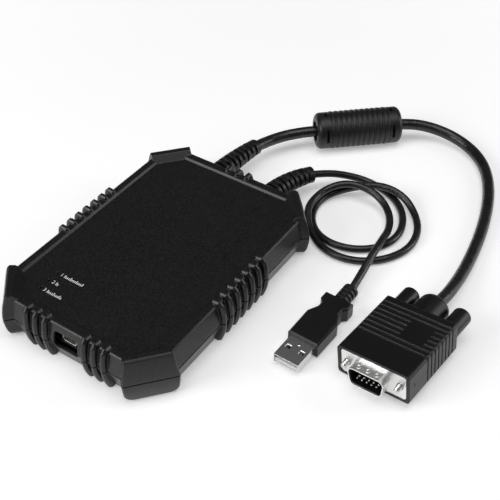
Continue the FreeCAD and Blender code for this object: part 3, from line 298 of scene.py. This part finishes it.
chip_black = moulded(
    "chip_black", dark=(0.010, 0.010, 0.011), light=(0.022, 0.022, 0.023),
    rubbed=(0.04, 0.04, 0.04), roughness=(0.5, 0.6), grain=0.0003, depth=0.00003,
    edge=0.0002, specular=0.4)
dress(chip_black, "main_chip", "memory_chip", "usb_chip", "capacitors")
can_steel = plated(
    "can_steel", colour=(0.62, 0.62, 0.62), roughness=(0.2, 0.32), streak=(1200, 120, 1200))
dress(can_steel, "crystal")
nylon_white = moulded(
    "nylon_white", dark=(0.82, 0.82, 0.80), light=(0.88, 0.88, 0.86),
    rubbed=(0.90, 0.90, 0.88), roughness=(0.38, 0.48), grain=0.0004, depth=0.00002,
    edge=0.0002, specular=0.5)
dress(nylon_white, "vga_wire_header", "usb_wire_header")

# Lamps: three smoked rods hang in the panel over small LEDs. Unlit they are glossy black dots,
# sunk a little into the panel.


def two_tone(tree, factor, first, second):
    """A colour that runs from one to another with a mask."""
    ramp = add(tree, "ValToRGB", {"Fac": factor})
    for stop, colour in zip(ramp.color_ramp.elements, (first, second)):
        stop.color = (*colour, 1)
    return ramp.outputs["Color"]


lamp_glass, lamp_tree, lamp_shader = new_material("lamp_glass")
lamp_shader.inputs["Specular IOR Level"].default_value = 0.25
lamp_shader.inputs["Roughness"].default_value = 0.12
lamp_haze = place_group(lamp_tree, handling, Size=0.0012)["Film"]
lamp_tone = two_tone(lamp_tree, lamp_haze, (0.0004, 0.0004, 0.0006), (0.0012, 0.0012, 0.0016))
lamp_tree.links.new(lamp_tone, lamp_shader.inputs["Base Color"])
dress(lamp_glass, "status_leds", "light_pipes")

# Legends: pad printed in white ink beside the lamps, a number and a row of ticks for each.
# The ink is a film on the panel, a little thin where the grain stands up.

ink_white, ink_tree, ink_shader = new_material("ink_white")
ink_shader.inputs["Roughness"].default_value = 0.6
ink_fleck = place_group(ink_tree, spark_grain, Size=0.0004)["Fleck"]
ink_tone = two_tone(ink_tree, ink_fleck, (0.62, 0.62, 0.63), (0.86, 0.86, 0.87))
ink_tree.links.new(ink_tone, ink_shader.inputs["Base Color"])


def bar(form, low, high, place):
    """Adds a block between two corners of a placement."""
    corners = [form.verts.new(place @ Vector((x, y, z)))
               for x in (low[0], high[0]) for y in (low[1], high[1]) for z in (low[2], high[2])]
    for face in ((0, 1, 3, 2), (4, 6, 7, 5), (0, 4, 5, 1),
                 (2, 3, 7, 6), (0, 2, 6, 4), (1, 5, 7, 3)):
        form.faces.new([corners[index] for index in face])


panel_z, ink_film = 0.020, 0.00004
pipe_collar, lamp_pitch = 0.0015, 0.0054
pipe_low, pipe_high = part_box("light_pipes")
lamp_x = (pipe_low.x + pipe_high.x) / 2
lamp_back = pipe_high.y - pipe_collar
digit_gap, digit_size = 0.0018, 0.0026
ticks_gap, tick_pitch, tick_width = 0.0040, 0.00082, 0.00042
tall_tick, short_tick, tall_every = 0.0017, 0.0011, 4
ticks = bmesh.new()
for number, tick_count in enumerate((13, 2, 10), start=1):
    lamp_y = lamp_back - lamp_pitch * (number - 1)
    tick_foot = lamp_y - tall_tick / 2
    for step in range(tick_count):
        left = lamp_x + ticks_gap + tick_pitch * step
        height = short_tick if step % tall_every else tall_tick
        bar(ticks, (left, tick_foot, panel_z),
            (left + tick_width, tick_foot + height, panel_z + ink_film), Matrix())
    legend = bpy.data.curves.new("legend_%d" % number, "FONT")
    legend.body = "%d" % number
    legend.size = digit_size
    legend.align_y = "CENTER"
    legend.extrude = ink_film / 2
    legend.materials.append(ink_white)
    digit = bpy.data.objects.new("legend_%d" % number, legend)
    digit.location = (lamp_x + digit_gap, lamp_y, panel_z + ink_film / 2)
    bpy.context.scene.collection.objects.link(digit)
    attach(digit, "adapter")
new_piece("legend_ticks", ticks, ink_white, "adapter")

# Mini USB socket: a folded shell of tin plated steel behind the window, with a black tongue
# and five gold flashed contacts.

shell_tin = plated(
    "shell_tin", colour=(0.82, 0.82, 0.81), roughness=(0.36, 0.42), streak=(300, 1600, 1600))
dress(shell_tin, "mini_usb_shell")
contact_gold = plated(
    "contact_gold", colour=(0.86, 0.63, 0.27), roughness=(0.18, 0.28), streak=(2000, 300, 2000))
dress(contact_gold, "mini_usb_contacts")
insulator_black = moulded(
    "insulator_black", dark=(0.0022, 0.0022, 0.0024), light=(0.0045, 0.0045, 0.0048),
    rubbed=(0.008, 0.008, 0.008), roughness=(0.55, 0.65), grain=0.0003, depth=0.00002,
    edge=0.0001, specular=0.25)
dress(insulator_black, "mini_usb_tongue")

# Strain reliefs: soft black PVC, moulded round each cable's end and trapped in the back wall
# by a flange. The rings are satin and bend with the cable, and its wires run on inside.

boot_black = moulded(
    "boot_black", dark=(0.005, 0.005, 0.0055), light=(0.009, 0.009, 0.0095),
    rubbed=(0.026, 0.026, 0.027), roughness=(0.32, 0.42), grain=0.0006, depth=0.00003,
    edge=0.0004, specular=0.35)
dress(boot_black, "vga_boot", "usb_boot", "vga_wire_bundle", "usb_wire_bundle")

# Cables: extruded black PVC over a screened bundle, glossy, with the faint waves of the wires
# inside. The video cable is 5.9 mm thick and springy, the USB cable 3.7 mm and limp.

jacket_black, jacket_tree, jacket_shader = new_material("jacket_black")
jacket_shader.inputs["Specular IOR Level"].default_value = 0.5
jacket_film = place_group(jacket_tree, handling, Size=0.008)["Film"]
jacket_tone = two_tone(jacket_tree, jacket_film, (0.006, 0.006, 0.007), (0.011, 0.011, 0.012))
jacket_tree.links.new(jacket_tone, jacket_shader.inputs["Base Color"])
jacket_gloss = add(jacket_tree, "MapRange", {"Value": jacket_film,
                                             "To Min": 0.22, "To Max": 0.36})
jacket_tree.links.new(jacket_gloss.outputs[0], jacket_shader.inputs["Roughness"])
jacket_wave = place_group(jacket_tree, handling, Size=0.004)["Film"]
jacket_bump = add(jacket_tree, "Bump", {"Height": jacket_wave,
                                        "Strength": 0.5, "Distance": 0.0002})
jacket_tree.links.new(jacket_bump.outputs[0], jacket_shader.inputs["Normal"])


def laid_cable(name, route, diameter):
    """One round jacket along a smooth line through the route, given in millimetres."""
    curve = bpy.data.curves.new(name, "CURVE")
    curve.dimensions = "3D"
    curve.bevel_depth = diameter / 2
    curve.bevel_resolution = 6
    curve.resolution_u = 10
    curve.use_fill_caps = True
    curve.materials.append(jacket_black)
    line = curve.splines.new("NURBS")
    line.points.add(len(route) - 1)
    for point, (x, y, z) in zip(line.points, route):
        point.co = (x / 1000, y / 1000, z / 1000, 1)
    line.order_u = 3
    line.use_endpoint_u = True
    cable = bpy.data.objects.new(name, curve)
    bpy.context.scene.collection.objects.link(cable)
    return cable


vga_route = [
    (-13.770, 97.045, 10.048), (-11.7, 106.0, 9.1), (-7.7, 114.0, 9.1), (-1.9, 121.2, 9.4),
    (4.91, 127.30, 9.75), (11.6, 133.37, 9.75), (32.3, 152.13, 9.75), (38.99, 158.20, 9.75),
    (47.1, 164.8, 8.8), (56.2, 169.0, 7.0), (66.3, 170.2, 5.2), (76.4, 168.0, 3.8),
    (85.3, 162.5, 3.1), (92.4, 154.4, 3.0), (98.0, 144.8, 3.0), (102.4, 134.4, 3.0),
    (106.0, 123.4, 3.0), (109.0, 112.0, 3.0), (111.3, 100.2, 3.0), (113.1, 88.4, 3.2),
    (114.5, 77.0, 4.3), (115.5, 66.0, 6.2), (116.0, 54.6, 8.2), (115.208, 45.383, 9.33)]
vga_jacket = laid_cable("vga_jacket", vga_route, diameter=0.0059)
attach(vga_jacket, "adapter")
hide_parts("vga_cable")

usb_route = [
    (22.417, 93.763, 9.385), (27.6, 100.4, 8.4), (34.8, 106.6, 6.4), (43.2, 111.4, 4.0),
    (52.6, 112.4, 2.2), (61.6, 109.6, 1.9), (69.4, 103.4, 1.9), (74.8, 95.0, 1.9),
    (77.4, 85.4, 1.9), (75.9, 76.0, 1.9), (70.4, 68.0, 1.9), (62.0, 62.9, 1.9),
    (52.2, 61.5, 1.9), (43.4, 64.4, 1.9), (36.8, 70.9, 1.9), (33.0, 79.4, 1.9),
    (32.6, 88.4, 2.3), (36.6, 96.4, 3.2), (43.6, 103.0, 4.8), (51.8, 107.4, 6.8),
    (60.6, 108.8, 7.2), (69.2, 108.4, 4.9), (76.6, 103.8, 2.1), (82.0, 96.6, 1.9),
    (85.2, 88.0, 1.9), (85.6, 78.8, 1.9), (82.6, 70.2, 1.9), (76.8, 62.6, 1.9),
    (68.6, 57.0, 1.9), (59.4, 55.3, 1.9), (50.4, 57.0, 1.9), (43.2, 61.6, 2.1),
    (37.0, 67.0, 3.6), (32.5, 74.2, 5.7), (31.5, 82.6, 5.9), (33.2, 91.0, 6.8),
    (39.2, 97.8, 8.6), (47.4, 100.8, 8.6), (56.0, 100.8, 7.2), (63.8, 97.4, 5.2),
    (69.4, 91.2, 4.0), (72.6, 83.0, 4.0), (74.0, 74.4, 6.0), (75.2, 66.2, 7.2),
    (76.0, 58.0, 7.0), (76.7, 49.6, 5.2), (77.626, 38.083, 4.0)]
usb_jacket = laid_cable("usb_jacket", usb_route, diameter=0.0037)
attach(usb_jacket, "adapter")
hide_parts("usb_cable")

# Clip-on ferrite: two hinged half cases of black nylon, latched round two half cores of
# grey sintered ferrite on the video cable. Rounded ribs run round the case between its grooves,
# and the slots at its ends are open to the dark inside. Near-black plates on the floors of their
# shallow pockets are painted shade for that dark inside.

ferrite_black = moulded(
    "ferrite_black", dark=(0.007, 0.007, 0.0075), light=(0.012, 0.012, 0.0125),
    rubbed=(0.030, 0.030, 0.031), roughness=(0.34, 0.44), grain=0.0005, depth=0.00003,
    edge=0.0003, specular=0.4)
dress(ferrite_black, "ferrite_upper_case", "ferrite_lower_case")
core_grey = moulded(
    "core_grey", dark=(0.05, 0.05, 0.052), light=(0.09, 0.09, 0.092),
    rubbed=(0.12, 0.12, 0.12), roughness=(0.5, 0.7), grain=0.0004, depth=0.00005,
    edge=0.0002, specular=0.4)
dress(core_grey, "ferrite_upper_core", "ferrite_lower_core")


def closed_hoop(form, rings):
    """Adds the faces from each ring to the next, and from the last to the first."""
    for number, ring in enumerate(rings):
        band(form, rings[number - 1], ring)


ferrite_heading, ferrite_roll, ferrite_radius = 42.2, 25.0, 0.0097
ferrite_place = (Matrix.Translation((0.02195, 0.14275, 0.00975))
                 @ Matrix.Rotation(math.radians(ferrite_heading - 90), 4, "Z"))
rib_count, rib_pitch, rib_sides = 11, 0.00285, 72
rib_profile = [
    (-0.00104, -0.00005), (-0.00104, 0.00001), (-0.00092, 0.00008), (-0.00070, 0.00015),
    (-0.00038, 0.00020), (0, 0.00022), (0.00038, 0.00020), (0.00070, 0.00015),
    (0.00092, 0.00008), (0.00104, 0.00001), (0.00104, -0.00005)]
table_gap, underside = 0.00003, 0.5
ribs = bmesh.new()
for number in range(rib_count):
    rib_middle = rib_pitch * (number - (rib_count - 1) / 2)
    rib_rows = []
    for step in range(rib_sides):
        angle = math.tau * step / rib_sides
        down = math.cos(angle)
        room = ferrite_radius
        if down > underside:
            room = (ferrite_radius + table_gap) / down - ferrite_radius
        rib_row = []
        for along, rise in rib_profile:
            radius = ferrite_radius + min(rise, room)
            rib_row.append(ribs.verts.new(ferrite_place @ Vector((
                radius * math.sin(angle), rib_middle + along, -radius * down))))
        rib_rows.append(rib_row)
    closed_hoop(ribs, rib_rows)
new_piece("ferrite_ribs", ribs, ferrite_black, "adapter")

# Near-black plates in the slot pockets: painted shade that stands in for the dark inside of the
# open slots.
slot_painted_shade = moulded(
    "slot_painted_shade", dark=(0.0008, 0.0008, 0.0009), light=(0.0016, 0.0016, 0.0018),
    rubbed=(0.002, 0.002, 0.002), roughness=(0.7, 0.8), grain=0.0004, depth=0.00003,
    edge=0.0002, specular=0.1)
slot_place, slot_half, slot_clear = 0.0178, 0.00073, 0.0001
slot_floor, slot_face = 0.00886, 0.00894
slot_shade_plates = bmesh.new()
for slot_y in (-slot_place, slot_place):
    for slot_length, slot_turn in ((0.0074, 37.0), (0.0036, 118.0)):
        slot_reach = slot_length / 2 - slot_clear
        bar(slot_shade_plates, (slot_floor, slot_y - slot_half, -slot_reach),
            (slot_face, slot_y + slot_half, slot_reach),
            ferrite_place @ Matrix.Rotation(math.radians(ferrite_roll - slot_turn), 4, "Y"))
new_piece("ferrite_slot_shade_plates", slot_shade_plates, slot_painted_shade, "adapter")

# Hood of the video plug: satin black PVC moulded over the connector in one shot, with grip
# grooves across it. The mark of the moulding gate shows on its side.

hood_black = moulded(
    "hood_black", dark=(0.0030, 0.0030, 0.0033), light=(0.0065, 0.0065, 0.0070),
    rubbed=(0.090, 0.090, 0.092), roughness=(0.32, 0.40), grain=0.0005, depth=0.00004,
    edge=0.0006, specular=0.35)
dress(hood_black, "vga_plug_hood")

vga_heading, vga_roll = -5.21, -7.0
vga_place = (Matrix.Translation((0.11065, -0.00461, 0.00933))
             @ Matrix.Rotation(math.radians(vga_heading), 4, "Z")
             @ Matrix.Rotation(math.radians(vga_roll), 4, "Y"))
gate_place = (vga_place @ Matrix.Translation((0.01715, 0.0039, 0.0006))
              @ Matrix.Rotation(math.pi / 2, 4, "Y"))
gate_profile = [(0.00085, -0.0001), (0.00082, 0.00008), (0.00062, 0.00012), (0.00048, 0.00002),
                (0, 0.00002)]
gate_mark = bmesh.new()
turned(gate_mark, gate_profile, gate_place, segments=20, stretch=0.5)
new_piece("hood_gate_mark", gate_mark, hood_black, "adapter")

# Shell of the video plug: drawn from tin plated sheet with its flange in one piece, so a soft
# fold runs round its foot. Dimples on its two flat sides grip the socket.

dress(shell_tin, "vga_plug_shell")
d_wide, d_half, d_round, d_slant = 0.00896, 0.00468, 0.0028, math.radians(10)
d_narrow = d_wide - d_half * 2 * math.tan(d_slant)


def d_line(grow, steps=8):
    """Points round the shell's D, grown outward by a distance."""
    corners = [Vector(point) for point in (
        (d_narrow, -d_half), (d_wide, d_half), (-d_wide, d_half), (-d_narrow, -d_half))]
    points = []
    for number, corner in enumerate(corners):
        coming = (corner - corners[number - 1]).normalized()
        going = (corners[(number + 1) % 4] - corner).normalized()
        first, last = Vector((coming.y, -coming.x)), Vector((going.y, -going.x))
        inward = (going - coming).normalized()
        middle = corner + inward * (d_round / inward.dot(-first))
        start = math.atan2(first.y, first.x)
        sweep = (math.atan2(last.y, last.x) - start) % math.tau
        for step in range(steps + 1):
            angle = start + sweep * step / steps
            points.append(middle + Vector((math.cos(angle), math.sin(angle))) * (d_round + grow))
    return points


def d_hoop(profile):
    """A hoop round the shell's D: a closed profile of (growth, depth) pairs."""
    form = bmesh.new()
    closed_hoop(form, [[form.verts.new(vga_place @ Vector((point.x, back, point.y)))
                        for point in d_line(grow)] for grow, back in profile])
    return form


fold = d_hoop([
    (0.00042, 0.00035), (0.00041, 0.00010), (0.00036, 0.00003), (0.00023, 0.00001),
    (0.00013, -0.00004), (0.00006, -0.00012), (0.00002, -0.00024), (0.00001, -0.00034),
    (-0.00010, -0.00034), (-0.00010, 0.00035)])
new_piece("vga_shell_fold", fold, shell_tin, "adapter")

dimple_y = -0.0033
dimple_profile = [
    (0.00122, -0.00005), (0.00116, 0.00004), (0.00100, 0.00017), (0.00088, 0.00018),
    (0.00072, 0.00011), (0.00052, 0.00003), (0, 0.00001)]
dimples = bmesh.new()
for dimple_z, dimple_roll, dimple_row in ((d_half, 0, (-0.00426, 0, 0.00426)),
                                          (-d_half, math.pi, (-0.0030, 0.0030))):
    for dimple_x in dimple_row:
        turned(dimples, dimple_profile,
               vga_place @ Matrix.Translation((dimple_x, dimple_y, dimple_z))
               @ Matrix.Rotation(dimple_roll, 4, "X"), segments=24)
new_piece("vga_shell_dimples", dimples, shell_tin, "adapter")

# Insulator and pins of the video plug: a black moulding with a thin skirt that lines the shell
# almost to its mouth. Some real insulators have such a skirt, but this one is a dark sheet put
# there as painted shade for the shell's dark inside. Fifteen nickel plated pins with rounded
# ends stand in three staggered rows.

dress(insulator_black, "vga_plug_insulator")
# The skirt: a black sleeve over the inside of the shell, painted shade for the shell's dark
# inside.
shade_skirt = d_hoop([(-0.00052, 0.0002), (-0.00052, -0.0048), (-0.00070, -0.0049), (-0.00074, 0.0002)])
new_piece("vga_insulator_shade_skirt", shade_skirt, insulator_black, "adapter")

shell_nickel = plated(
    "shell_nickel", colour=(0.68, 0.68, 0.68), roughness=(0.20, 0.24), streak=(300, 1600, 1600))
pin_rows, pin_columns, pin_pitch, pin_row_pitch = 3, 5, 0.00229, 0.00198
pin_radius, pin_root = 0.00042, -0.01075
pin_profile = [(0, pin_root), (pin_radius, pin_root), (pin_radius, 0.00355), (0.00037, 0.00370),
               (0.00023, 0.00380), (0, 0.00385)]
pins = bmesh.new()
for row in range(pin_rows):
    stagger = pin_pitch / 4 * (1 if row % 2 else -1)
    pin_z = pin_row_pitch * (row - (pin_rows - 1) / 2)
    for column in range(pin_columns):
        pin_x = pin_pitch * (column - (pin_columns - 1) / 2) + stagger
        turned(pins, pin_profile, vga_place @ Matrix.Translation((pin_x, 0, pin_z))
               @ Matrix.Rotation(math.pi / 2, 4, "X"), segments=16)
pin_set = new_piece("vga_pin_set", pins, shell_nickel, "adapter")
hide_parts("vga_plug_pins")

# Thumbscrews: steel screws turned from bar, with a fine thread on the end, a neck that lets
# them turn free in the flange, and knobs of black PVC moulded on. A slot in the end of each knob
# takes a screwdriver.

jack_nickel = plated(
    "jack_nickel", colour=(0.66, 0.65, 0.63), roughness=(0.22, 0.32), streak=(1200, 300, 1200))
thread_end, thread_start, thread_pitch = -0.0030, 0.00025, 0.000635
thread_outer, thread_inner, thread_bevel, thread_flank = 0.00142, 0.00108, 0.0010, 2.4
thread_rows, thread_sides = 48, 28
neck_radius, neck_end, shank_end = 0.00115, 0.00185, 0.0443
shank_line = ((thread_start, neck_radius), (neck_end, neck_radius),
              (neck_end, thread_outer), (shank_end, thread_outer))
dent_radius, dent_depth = 0.00055, 0.00035


def thread_radii(back):
    """Radii round the thread at one depth, where its crest has climbed by the pitch."""
    limit = thread_bevel + (back - thread_end)
    radii = []
    for number in range(thread_sides):
        phase = (back / thread_pitch + number / thread_sides) % 1
        crest = min(1.0, thread_flank * min(phase, 1 - phase))
        radii.append(min(thread_inner + (thread_outer - thread_inner) * crest, limit))
    return radii


def screw_ring(form, axis_x, back, radii):
    """Points round the axis of a screw at one depth, each with its own radius."""
    ring = []
    for number, radius in enumerate(radii):
        angle = math.tau * number / len(radii)
        ring.append(form.verts.new(vga_place @ Vector((
            axis_x + radius * math.cos(angle), back, radius * math.sin(angle)))))
    return ring


knob_front, knob_end, knob_radius = 0.0373, 0.0506, 0.0042
knob_edge, knob_edge_steps = 0.0011, 6
knob_profile = [(0, shank_end), (thread_outer, shank_end), (thread_outer, knob_front),
                (knob_radius, knob_front)]
for step in range(knob_edge_steps + 1):
    angle = math.pi / 2 * step / knob_edge_steps
    knob_profile.append((knob_radius - knob_edge * (1 - math.cos(angle)),
                         knob_end - knob_edge * (1 - math.sin(angle))))
cut_half_length, cut_half_width, cut_depth = 0.0025, 0.0006, 0.0013
knob_cut = [(-cut_half_length, -cut_half_width), (cut_half_length, -cut_half_width),
            (cut_half_length, cut_half_width), (-cut_half_length, cut_half_width)]

jack_reach = 0.012495
for side, jack_x in (("left", -jack_reach), ("right", jack_reach)):
    jack = bmesh.new()
    jack_rings = []
    for row in range(thread_rows + 1):
        back = thread_end + (thread_start - thread_end) * row / thread_rows
        jack_rings.append(screw_ring(jack, jack_x, back, thread_radii(back)))
    for back, radius in shank_line:
        jack_rings.append(screw_ring(jack, jack_x, back, [radius] * thread_sides))
    for low, high in zip(jack_rings, jack_rings[1:]):
        band(jack, low, high)
    dent = jack.verts.new(vga_place @ Vector((jack_x, thread_end + dent_depth, 0)))
    dent_ring = screw_ring(jack, jack_x, thread_end, [dent_radius] * thread_sides)
    band(jack, jack_rings[0], dent_ring)
    for index in range(thread_sides):
        jack.faces.new((dent_ring[index - 1], dent_ring[index], dent))
    jack.faces.new(jack_rings[-1])
    screw = new_piece(side + "_screw", jack, jack_nickel, side + "_thumbscrew")
    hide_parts(side + "_jackscrew")
    knob = bmesh.new()
    knob_place = (vga_place @ Matrix.Translation((jack_x, 0, 0))
                  @ Matrix.Rotation(-math.pi / 2, 4, "X"))
    end_ring = turned(knob, knob_profile, knob_place, segments=40)[-1]
    sink(knob, end_ring, knob_cut, knob_place, knob_end, knob_end - cut_depth)
    grip = new_piece(side + "_knob", knob, hood_black, side + "_thumbscrew")
    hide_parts(side + "_thumbscrew_knob")

# USB plug: a waisted body of the same PVC with grip ears and a short ringed tail, round a
# folded shell of nickel plated steel with two windows. A white tongue in it carries four gold
# flashed contacts.

dress(hood_black, "usb_plug_body")
dress(shell_nickel, "usb_plug_shell")
dress(nylon_white, "usb_plug_tongue")
usb_height, usb_heading = 0.0040, -1.66
usb_place = (Matrix.Translation((0.07645, -0.0025, usb_height))
             @ Matrix.Rotation(math.radians(usb_heading), 4, "Z"))


def prism(form, ends):
    """Adds a solid between two like outlines."""
    band(form, *ends)
    for cap in ends:
        form.faces.new(cap)


shell_top, window_half, window_x, window_y = 0.00225, 0.0012, 0.0033, -0.0059
lip_line = [(0, 0), (0.00012, -0.000015), (0.00025, -0.00007), (0.00036, -0.00019),
            (0.00040, -0.00035), (0.00040, -0.00080), (0, -0.00080)]


def lip(form, along_x, fixed, start, end):
    """Adds one rolled edge of a window, from start to end along an axis."""
    ends = []
    for distance in (start, end):
        outline = []
        for reach, rise in lip_line:
            x, y = (distance, fixed - reach) if along_x else (fixed + reach, distance)
            outline.append(form.verts.new(usb_place @ Vector((x, y, shell_top + rise))))
        ends.append(outline)
    prism(form, ends)


lips = bmesh.new()
for middle_x in (-window_x, window_x):
    lip(lips, True, window_y + window_half, middle_x - window_half, middle_x + window_half)
    lip(lips, False, middle_x - window_half, window_y - window_half, window_y + window_half)
pip_y = -0.00287
pip_profile = [(0.00085, -0.0001), (0.00082, 0.00007), (0.00062, 0.00017), (0.00032, 0.00022),
               (0, 0.00023)]
turned(lips, pip_profile, usb_place @ Matrix.Translation((0, pip_y, shell_top)),
       segments=24, stretch=0.75)
new_piece("usb_shell_lips", lips, shell_nickel, "adapter")

tongue_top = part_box("usb_plug_tongue")[1].z - usb_height
strip_count, strip_half, strip_pitch = 4, 0.0005, 0.0023
strip_line = [(-0.0101, -0.0002), (-0.0099, 0.00004), (-0.0096, 0.00012), (-0.0047, 0.00012),
              (-0.0043, 0.00004), (-0.0040, -0.0002)]
strips = bmesh.new()
for number in range(strip_count):
    strip_x = strip_pitch * (number - (strip_count - 1) / 2)
    prism(strips, [[strips.verts.new(usb_place @ Vector((x, back, tongue_top + rise)))
                    for back, rise in strip_line]
                   for x in (strip_x - strip_half, strip_x + strip_half)])
usb_strips = new_piece("usb_contact_strips", strips, contact_gold, "adapter")
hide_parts("usb_plug_contacts")

# Table and light: a white table under a large soft box above, one at the front left and a smaller
# one at the back right. The table's glow to the camera and to reflections is painted light that
# grows from near the part to farther out, where the lamps light it less, so the table reads
# evenly white. The table keeps the soft shadow.

table_half = 1.6
table_mesh = bpy.data.meshes.new("table_top")
table_mesh.from_pydata([(x * table_half, y * table_half, 0) for x, y in
                        ((-1, -1), (1, -1), (1, 1), (-1, 1))], [], [(0, 1, 2, 3)])
table_top = bpy.data.objects.new("table_top", table_mesh)
table_top.location = (0.04, 0.05, -0.0001)
bpy.context.scene.collection.objects.link(table_top)
table_white, table_tree, table_shader = new_material("table_white")
table_shader.inputs["Base Color"].default_value = (0.86, 0.86, 0.86, 1)
table_shader.inputs["Roughness"].default_value = 0.7
table_shader.inputs["Specular IOR Level"].default_value = 0.2
table_rays = add(table_tree, "LightPath").outputs
table_seen = add(table_tree, "Math", {0: table_rays["Is Camera Ray"],
                                      1: table_rays["Is Glossy Ray"]}, operation="MAXIMUM")
table_spot = add(table_tree, "TexCoord").outputs["Object"]
table_reach = add(table_tree, "VectorMath", {0: table_spot}, operation="LENGTH")
# Painted light: the table's glow grows with distance from the part, to make up for the lamps'
# fall-off.
table_painted_light = add(table_tree, "MapRange", {"Value": table_reach.outputs["Value"],
                                          "From Min": 0.12, "From Max": 1.0,
                                          "To Min": 0.31, "To Max": 0.95},
                 interpolation_type="SMOOTHSTEP")
table_lift = add(table_tree, "Math", {0: table_seen.outputs[0], 1: table_painted_light.outputs[0]},
                 operation="MULTIPLY")
table_shader.inputs["Emission Color"].default_value = (1, 1, 1, 1)
table_tree.links.new(table_lift.outputs[0], table_shader.inputs["Emission Strength"])
table_mesh.materials.append(table_white)


def soft_box(name, power, size, place, target):
    """One rectangular area lamp, aimed at a point."""
    lamp = bpy.data.lights.new(name, "AREA")
    lamp.energy = power
    lamp.shape = "RECTANGLE"
    lamp.size, lamp.size_y = size
    box = bpy.data.objects.new(name, lamp)
    box.location = place
    box.rotation_euler = (Vector(target) - Vector(place)).to_track_quat("-Z", "Y").to_euler()
    bpy.context.scene.collection.objects.link(box)


soft_box("top_box", power=5.0, size=(0.9, 0.7), place=(0.13, -0.02, 0.98),
         target=(0.05, 0.04, 0))
soft_box("front_box", power=5.8, size=(0.6, 0.5), place=(-0.45, -0.80, 0.58),
         target=(0.03, 0.02, 0.01))
soft_box("right_box", power=2.6, size=(0.4, 0.6), place=(0.75, 0.64, 0.36),
         target=(0.05, 0.05, 0.01))

world = bpy.data.worlds.new("studio")
bpy.context.scene.world = world
world.use_nodes = True
world_tree = world.node_tree
world_back = world_tree.nodes["Background"]
world_back.inputs["Color"].default_value = (1, 1, 1, 1)
world_rays = add(world_tree, "LightPath").outputs
world_strength = add(world_tree, "MapRange", {"Value": world_rays["Is Camera Ray"],
                                              "To Min": 0.10, "To Max": 1.0})
world_tree.links.new(world_strength.outputs[0], world_back.inputs["Strength"])

# Camera: a rather long lens, which stands to the front right and looks down at the part, at the
# angle of the picture.

lens = bpy.data.cameras.new("view")
lens.sensor_width = 36.0
lens.lens = 66.30
lens.clip_start = 0.01
view = bpy.data.objects.new("view", lens)
view_turn, view_rise = math.radians(33.853), math.radians(42.407)
look_back = Vector((math.sin(view_turn) * math.cos(view_rise),
                    -math.cos(view_turn) * math.cos(view_rise), math.sin(view_rise)))
view.location = (0.203209, -0.231296, 0.296147)
view.rotation_euler = (-look_back).to_track_quat("-Z", "Y").to_euler()
bpy.context.scene.collection.objects.link(view)
bpy.context.scene.camera = view
bpy.context.scene.view_settings.view_transform = "Standard"
